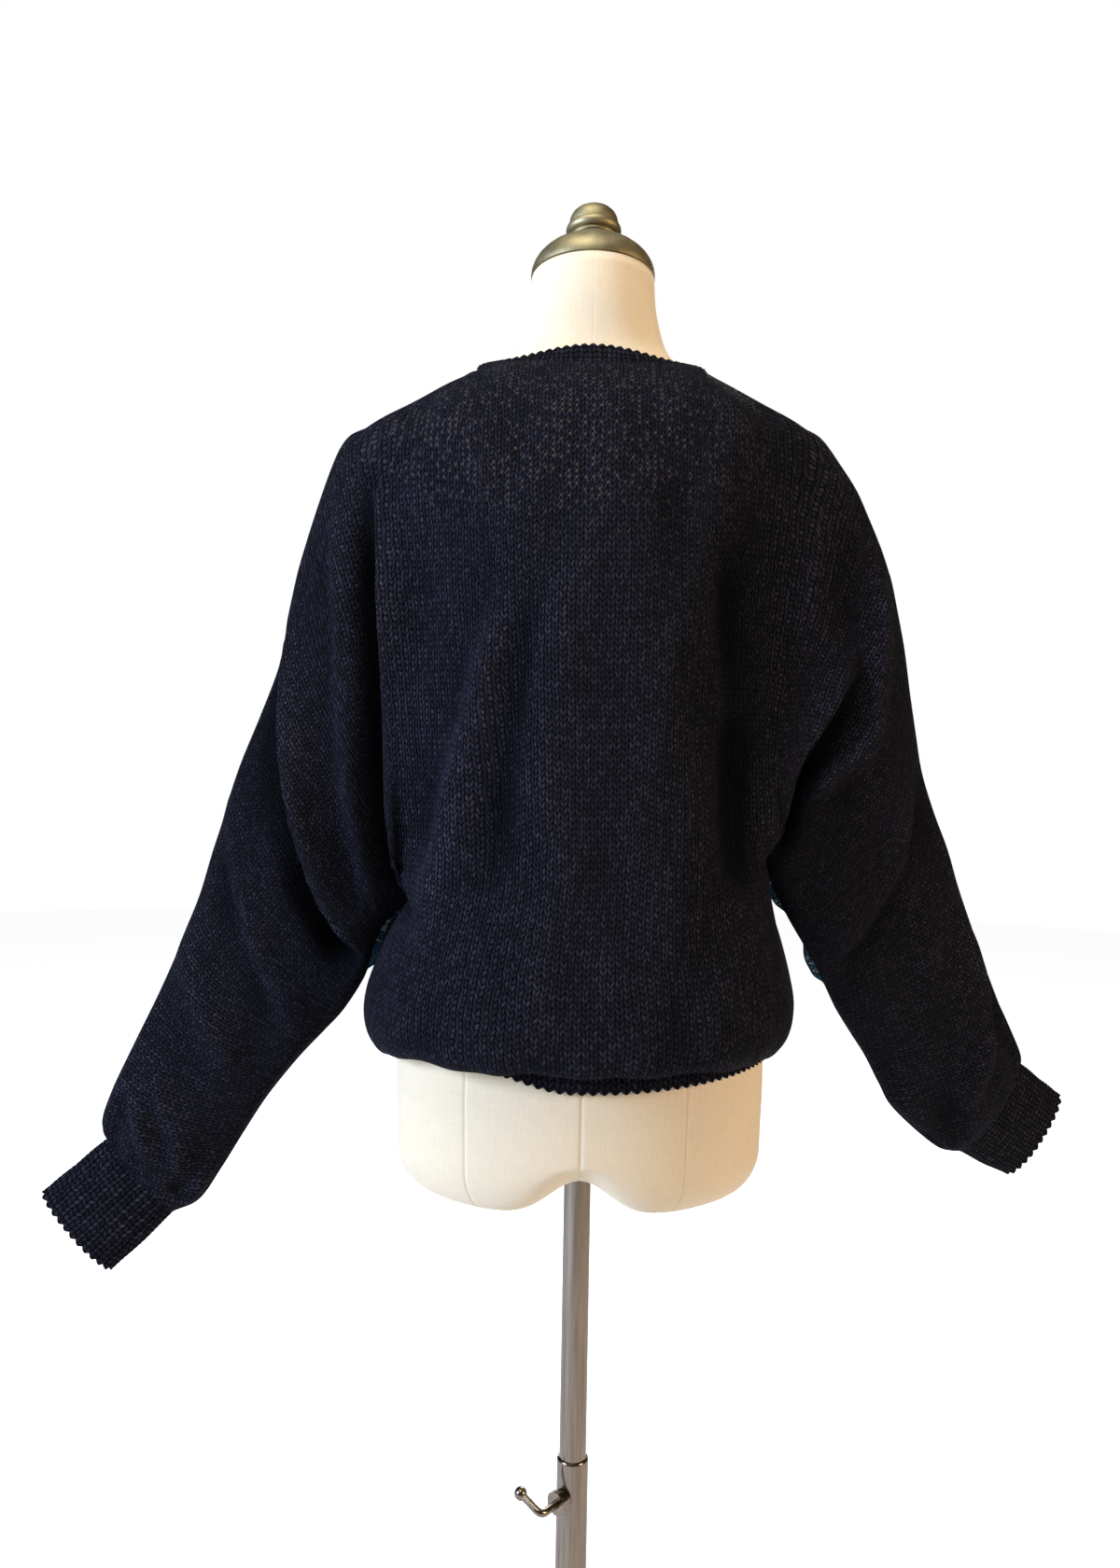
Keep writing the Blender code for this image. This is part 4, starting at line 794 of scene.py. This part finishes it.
def linenMaterial():
    # plain-woven linen blend, unbleached, pulled tight: matt, fine uneven slubs in both directions
    material, tree, inputs = newMaterial("plainWovenLinen", {"Roughness": 0.85, "Sheen Weight": 0.15})
    place = addNode(tree, "TexCoord", {})["Object"]
    weave = []
    for scale in linenLooks["stretch"]:
        mapping = addNode(tree, "Mapping", {"Scale": scale}, place)[0]
        weave.append(addNode(tree, "TexNoise", {"Scale": linenLooks["scale"], "Detail": 4.0, "Roughness": 0.65,
                                                "Vector": mapping})[0])
    both = addNode(tree, "Math.MULTIPLY", {}, addNode(tree, "Math.ADD", {}, *weave)[0], 0.5)[0]
    spread = addNode(tree, "MapRange", {"From Min": 0.35, "From Max": 0.65}, both)[0]
    colour = addNode(tree, "Mix", {"data_type": "RGBA", 6: srgb(linenLooks["shade"]), 7: srgb(linenLooks["base"])},
                     spread)[2]
    bump = addNode(tree, "Bump", {"Strength": 0.35, "Distance": linenLooks["relief"], "Height": both})[0]
    tree.links.new(colour, inputs["Base Color"])
    tree.links.new(bump, inputs["Normal"])
    return material


form = {  # half width, depth behind and before, shift backwards, tilt; from the middle of the underside upwards
    "z": (713, 712, 715, 724, 745, 775, 825, 880, 930, 985, 1040, 1100, 1160, 1215, 1265, 1315, 1362, 1400, 1425,
          1446, 1466, 1482, 1498, 1532, 1566),
    "half": (45, 88, 130, 155, 168, 170, 171.4, 169, 156, 136, 124, 129, 137, 143, 146, 152, 165, 173, 164, 138,
             103, 83, 70, 60.6, 57.8),
    "back": (36, 60, 88, 104, 113, 116, 117.9, 115, 104, 91, 84, 87, 95, 103, 109, 111, 105, 94, 84, 72, 60, 54,
             53, 56.6, 57.4),
    "front": (32, 52, 75, 89, 97, 99, 101.4, 101, 99, 95, 92, 101, 120, 133, 125, 104, 84, 68, 58, 48, 40, 40, 43,
              53.6, 56.4),
    "shift": (0,) * 21 + (-1, -2, -3, -4),
    "tilt": (0,) * 20 + (1, 2, 3, 4, 4),
    "arch": (32 * mm, 36 * mm), "finer": 4, "sides": 128, "seams": (0, 54, 90, 122, 180, 234, 270, 306),
    "seamDeep": 0.9 * mm, "seamWide": 0.0065, "seamSteps": (-0.022, -0.011, -0.004, 0.0, 0.004, 0.011, 0.022),
    "clearOfSeam": 0.03, "dent": 6 * mm,
}


def makeForm():
    rows = np.stack([np.array(form[k], float) for k in ("z", "half", "back", "front", "shift", "tilt")], axis=1)
    rows[:, :5] *= mm
    seamAngles = np.radians(np.array(form["seams"], float))
    angles = np.linspace(0, 2 * math.pi, form["sides"], endpoint=False)
    for seam in seamAngles:  # closer points at each seam, so that its groove is in the shape
        angles = angles[np.abs((angles - seam + math.pi) % (2 * math.pi) - math.pi) > form["clearOfSeam"]]
        angles = np.concatenate([angles, (seam + np.array(form["seamSteps"])) % (2 * math.pi)])
    angle = np.sort(angles)
    away = np.min(np.abs((angle[:, None] - seamAngles[None, :] + math.pi) % (2 * math.pi) - math.pi), axis=1)
    groove = np.exp(-(away / form["seamWide"]) ** 2)
    rings = []
    for z, half, back, front, shift, tilt in finerLine(rows, form["finer"]):
        deep = form["seamDeep"] * groove * min(1, (half / 0.16) ** 2)
        x = (half - deep) * np.cos(angle)
        y = (np.where(np.sin(angle) > 0, back, front) - deep) * np.sin(angle)
        arch = form["arch"][0] * np.exp(-(x / form["arch"][1]) ** 2) * (1 - smoothStep(z, 0.722, 0.775))
        rings.append(np.stack([x, y + shift, z + y * math.tan(math.radians(tilt)) + arch], axis=1))
    tips = ((0, 0, rings[0][:, 2].mean() + form["dent"]), rings[-1].mean(axis=0))
    return loftRings("formCover", rings, linenMaterial(), tips=tips)


formCover = makeForm()
print("form")

brassLooks = {"light": "#978b66", "dark": "#6c6145", "rough": (0.45, 0.62), "bump": 0.12,
              "relief": 0.2 * mm}
steelLooks = {"light": "#52483c", "dark": "#a3937d", "rough": (0.14, 0.28), "bump": 0.1, "relief": 0.1 * mm}


def dressMetal(name, addPatterns, looks):  # colour from one pattern, roughness and fine relief from the other
    material, tree, inputs = newMaterial(name, {"Metallic": 1.0})
    patches, grain = addPatterns(tree, addNode(tree, "TexCoord", {})["Object"])
    colour = addNode(tree, "Mix", {"data_type": "RGBA", 6: srgb(looks["light"]), 7: srgb(looks["dark"])}, patches)[2]
    rough = addNode(tree, "MapRange", {"Value": grain, "To Min": looks["rough"][0], "To Max": looks["rough"][1]})[0]
    bump = addNode(tree, "Bump", {"Strength": looks["bump"], "Distance": looks["relief"], "Height": grain})[0]
    for output, place in ((colour, "Base Color"), (rough, "Roughness"), (bump, "Normal")):
        tree.links.new(output, inputs[place])
    return material


def brassPatterns(tree, place):
    # spun brass with an old lacquer: warm and a little dull, browner where the lacquer has worn
    patches = addNode(tree, "TexNoise", {"Scale": 30.0, "Detail": 6.0, "Roughness": 0.65, "Vector": place})[0]
    grain = addNode(tree, "TexNoise", {"Scale": 260.0, "Detail": 4.0, "Vector": place})[0]
    return addNode(tree, "MapRange", {"From Min": 0.35, "From Max": 0.7}, patches)[0], grain


def steelMaterial(name, stretch):
    # drawn steel, brushed and satin nickelled: long fine scratches, soft highlights
    def scratches(tree, place):
        mapping = addNode(tree, "Mapping", {"Scale": stretch}, place)[0]
        lines = addNode(tree, "TexNoise", {"Scale": 420.0, "Detail": 4.0, "Roughness": 0.6, "Vector": mapping})[0]
        return lines, lines
    return dressMetal(name, scratches, steelLooks)


brass = dressMetal("agedBrass", brassPatterns, brassLooks)
steelLong, steelRound = steelMaterial("brushedSteelTube", (1, 1, 0.03)), steelMaterial("satinSteelPlate", (1, 1, 1))


def turnPiece(name, profile, steps, material, start=(0, 0, 0), tilt=0.0, hollow=False):
    # a profile of (radius, height) in millimetres spun round the upright axis, then tilted and put in place
    shape = bmesh.new()
    verts = [shape.verts.new((radius * mm, 0, height * mm)) for radius, height in profile]
    pairs = list(zip(verts[:-1], verts[1:])) + ([(verts[-1], verts[0])] if hollow else [])
    edges = [shape.edges.new(pair) for pair in pairs]
    bmesh.ops.spin(shape, geom=verts + edges, cent=(0, 0, 0), axis=(0, 0, 1), angle=2 * math.pi, steps=steps,
                   use_merge=True)
    bmesh.ops.remove_doubles(shape, verts=shape.verts, dist=1e-6)
    for vert in shape.verts:
        x, y, z = vert.co
        vert.co = (x + start[0], y * math.cos(tilt) - z * math.sin(tilt) + start[1],
                   z * math.cos(tilt) + y * math.sin(tilt) + start[2])
    return finishShape(name, shape, material, 38)


neckTop = {"start": (0, -4 * mm, 1566 * mm), "tilt": math.radians(4)}
capProfile = (
    (0, 0.6), (57, 0.6), (58.3, 1.4), (58.6, 3.6), (58.2, 7.4), (56.6, 12.4), (53.6, 17.6), (49.4, 22.4), (44.4, 26.8),
    (38.8, 30.4), (33, 33.2), (28, 35), (25.6, 35.8), (24.9, 36.6), (24.4, 38), (23.5, 39.2), (0, 39.2),
)
finialProfile = (
    (0, 39.8), (21.6, 39.8), (22.7, 40.4), (23.2, 41.4), (23.2, 42.6), (22.6, 43.4), (22.5, 44), (24.4, 44.8),
    (25.7, 46.4), (26.2, 48.6), (26, 50.6), (25.2, 52.4), (24.2, 53.4), (23.3, 53.8), (23.3, 54.6), (23.2, 57.4),
    (22.4, 61), (20.4, 64.8), (17.2, 68), (13.2, 70.4), (8.6, 72.1), (4.2, 72.9), (0, 73.1),
)
poleProfile = ((0, 262), (12.2, 262), (12.7, 262.6), (12.7, 844.4), (12.2, 845), (0, 845))
tubeProfile = ((13, 8.3), (14.8, 8.3), (14.8, 455.4), (14.6, 456.8), (13.9, 457.5), (13.2, 457.2), (13, 456.4))
plateProfile = ((0, 0), (178, 0), (179.4, 0.6), (180, 2), (180, 5.4), (179.4, 6.9), (177.6, 7.9), (174, 8), (0, 8))
socketProfile = ((15.1, 8.3), (22, 8.3), (22, 32.4), (21.5, 33.8), (20.2, 34.3), (15.9, 34.3), (15.1, 33.7))
neckCap = turnPiece("neckCap", capProfile, 96, brass, **neckTop)
ballFinial = turnPiece("ballFinial", finialProfile, 96, brass, **neckTop)
upperPole = turnPiece("poleUpper", poleProfile, 64, steelLong)
tubeOuter = turnPiece("poleOuter", tubeProfile, 64, steelLong, hollow=True)
basePlate = turnPiece("basePlate", plateProfile, 128, steelRound)
baseSocket = turnPiece("baseSocket", socketProfile, 64, steelRound, hollow=True)

clamp = {"height": 423 * mm, "angle": 50.6, "across": 20 * mm, "length": 9 * mm, "lever": 3.5 * mm, "gap": 0.35 * mm,
         "reach": 45 * mm, "arm": (25 * mm, 10 * mm), "ball": 6 * mm, "near": 15.1 * mm, "round": 7 * mm,
         "sides": {"nut": 48, "lever": 28}, "bend": 11, "ballRings": 16}


def makeClamp():
    angle, sides = math.radians(clamp["angle"]), clamp["sides"]
    radial = np.array([math.cos(angle), math.sin(angle), 0])
    sideways = np.array([math.sin(angle), -math.cos(angle), 0])
    up = np.array([0, 0, 1.0])
    centre = up * clamp["height"]
    turns = np.arange(sides["nut"]) / sides["nut"] * 2 * math.pi
    circle = np.cos(turns)[:, None] * sideways - np.sin(turns)[:, None] * up
    corner = clamp["across"] / 2 / math.cos(math.pi / 6)
    hexRadius = clamp["across"] / 2 / np.cos((turns + math.pi / 6) % (math.pi / 3) - math.pi / 6)
    rings = []
    for share, most in ((0, corner * 0.93), (0.1, corner), (0.86, corner), (1.0, corner * 0.9)):  # chamfered corners
        size = np.minimum(hexRadius, most)
        rings.append(centre + radial * (clamp["near"] + clamp["length"] * share) + circle * size[:, None])
    for share in (1.0, 0.0):  # the hole that the lever turns in
        rings.append(centre + radial * (clamp["near"] + clamp["length"] * share)
                     + circle * (clamp["lever"] + clamp["gap"]))
    nut = loftRings("clampNut", rings, steelRound, 30, hollow=True)

    bend = centre + radial * clamp["reach"]
    arm = sideways * clamp["arm"][0] + up * clamp["arm"][1]
    ball, ahead = bend + arm, unit(arm)
    path = [centre + radial * (clamp["near"] + 0.2 * mm)]
    for t in np.linspace(0, 1, clamp["bend"]):
        path.append(bend - radial * clamp["round"] * (1 - t) ** 2 + ahead * clamp["round"] * t ** 2)
    path = np.array(path + [ball - ahead * (clamp["ball"] - 0.8 * mm)])
    heading = unit(np.gradient(path, axis=0))
    heading[0], heading[-1] = radial, ahead
    side = unit(np.cross(radial, arm))
    turns = np.arange(sides["lever"]) / sides["lever"] * 2 * math.pi
    cosine, sine = np.cos(turns)[:, None], np.sin(turns)[:, None]
    rings = [point + clamp["lever"] * (cosine * side + sine * np.cross(forward, side))
             for point, forward in zip(path, heading)]
    around = cosine * side + sine * np.cross(ahead, side)
    for bow in np.linspace(math.asin(clamp["lever"] / clamp["ball"]), math.pi - 0.12, clamp["ballRings"]):
        rings.append(ball - ahead * clamp["ball"] * math.cos(bow) + clamp["ball"] * math.sin(bow) * around)
    return nut, loftRings("clampLever", rings, steelRound, 30)


nutPiece, leverPiece = makeClamp()
print("metal")

rides = (  # piece, body that it moves with, slot, nodes that it stands for
    (knitBack, "mast", "knit", "sweater_back"), (knitFront, "mast", "knit", "sweater_front"),
    (cuffLeft, "mast", "rib", "cuff_left"), (cuffRight, "mast", "rib", "cuff_right"),
    (neckRib, "mast", "rib", "neckband"), (hemRib, "mast", "rib", "hem_band"),
    (formCover, "mast", "linen", "form_torso"), (neckCap, "mast", "brass", "neck_cap"),
    (ballFinial, "mast", "brass", "finial"), (upperPole, "mast", "steel", "upper_pole"),
    (tubeOuter, "stand", "steel", "lower_pole"), (basePlate, "stand", "steel", "base_plate"),
    (baseSocket, "stand", "steel", "base_socket"), (nutPiece, "stand", "steel", "clamp_nut"),
    (leverPiece, "lever", "steel", "clamp_lever"),
)
for piece, body, slotName, node in rides:
    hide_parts(node)
    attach(piece, body)

stage = {"radius": 9, "floor": "#f2f2f2", "lifted": 0.85, "below": 0.5 * mm, "around": 0.11}
scene = bpy.context.scene
shape = bmesh.new()
bmesh.ops.create_circle(shape, cap_ends=True, segments=96, radius=stage["radius"])
floorMesh = bpy.data.meshes.new("floor")
shape.to_mesh(floorMesh)
shape.free()
floorMaterial, floorTree, floorInputs = newMaterial("paleFloor", {
    "Base Color": srgb(stage["floor"]), "Roughness": 0.9, "Emission Color": (1, 1, 1, 1)})
seen = addNode(floorTree, "LightPath", {})["Is Camera Ray"]
seen = addNode(floorTree, "Math.MULTIPLY", {}, seen, stage["lifted"])[0]
floorTree.links.new(seen, floorInputs["Emission Strength"])
floor = addPiece("floor", floorMesh, floorMaterial)
floor.location.z = -stage["below"]

world = bpy.data.worlds.new("studio")
scene.world = world
world.use_nodes = True
background = world.node_tree.nodes["Background"]
background.inputs["Color"].default_value = (1, 1, 1, 1)
seen = addNode(world.node_tree, "LightPath", {})["Is Camera Ray"]
seen = addNode(world.node_tree, "MapRange", {"To Min": stage["around"], "To Max": 1.0}, seen)[0]
world.node_tree.links.new(seen, background.inputs["Strength"])

lights = (  # place, target, size, watts, colour: a cool window at the left, a warm wall at the right
    ("coolKey", (2.7, 1.3, 1.9), (0.1, 0, 1.1), (0.8, 1.3), 194, "#bfd4ff"),
    ("warmFill", (-2.6, 1.3, 1.7), (-0.1, 0, 1.1), (1.0, 1.3), 54, "#ffdcb8"),
    ("topSoft", (0.3, 0.7, 3.0), (0, 0, 1.2), (1.2, 1.2), 34, "#ffffff"),
    ("frontSoft", (-0.6, -2.8, 2.2), (0, 0, 1.1), (1.6, 1.6), 60, "#ffffff"),
)
for name, place, target, size, watts, colour in lights:
    light = bpy.data.lights.new(name, "AREA")
    light.shape = "RECTANGLE"
    light.size, light.size_y = size
    light.energy, light.color = watts, srgb(colour)[:3]
    lamp = addPiece(name, light)
    lamp.location = place
    lamp.rotation_euler = Vector(np.array(target) - np.array(place)).to_track_quat("-Z", "Y").to_euler()

cameraLooks = {"focal": 1262.0, "height": 1680, "place": (0.023, 1.11, 1.095), "roll": 1.0, "horizon": 835}
camera = bpy.data.cameras.new("camera")
camera.sensor_fit = "VERTICAL"
camera.sensor_width = camera.sensor_height = 36
camera.lens = 36 * cameraLooks["focal"] / cameraLooks["height"]
camera.shift_y = (cameraLooks["horizon"] - cameraLooks["height"] / 2) / cameraLooks["height"]
camera.clip_start = 0.01
eye = addPiece("camera", camera)
eye.location = cameraLooks["place"]
eye.rotation_euler = (math.pi / 2, -math.radians(cameraLooks["roll"]), math.pi)
scene.camera = eye
scene.view_settings.view_transform = "Standard"

print("done")
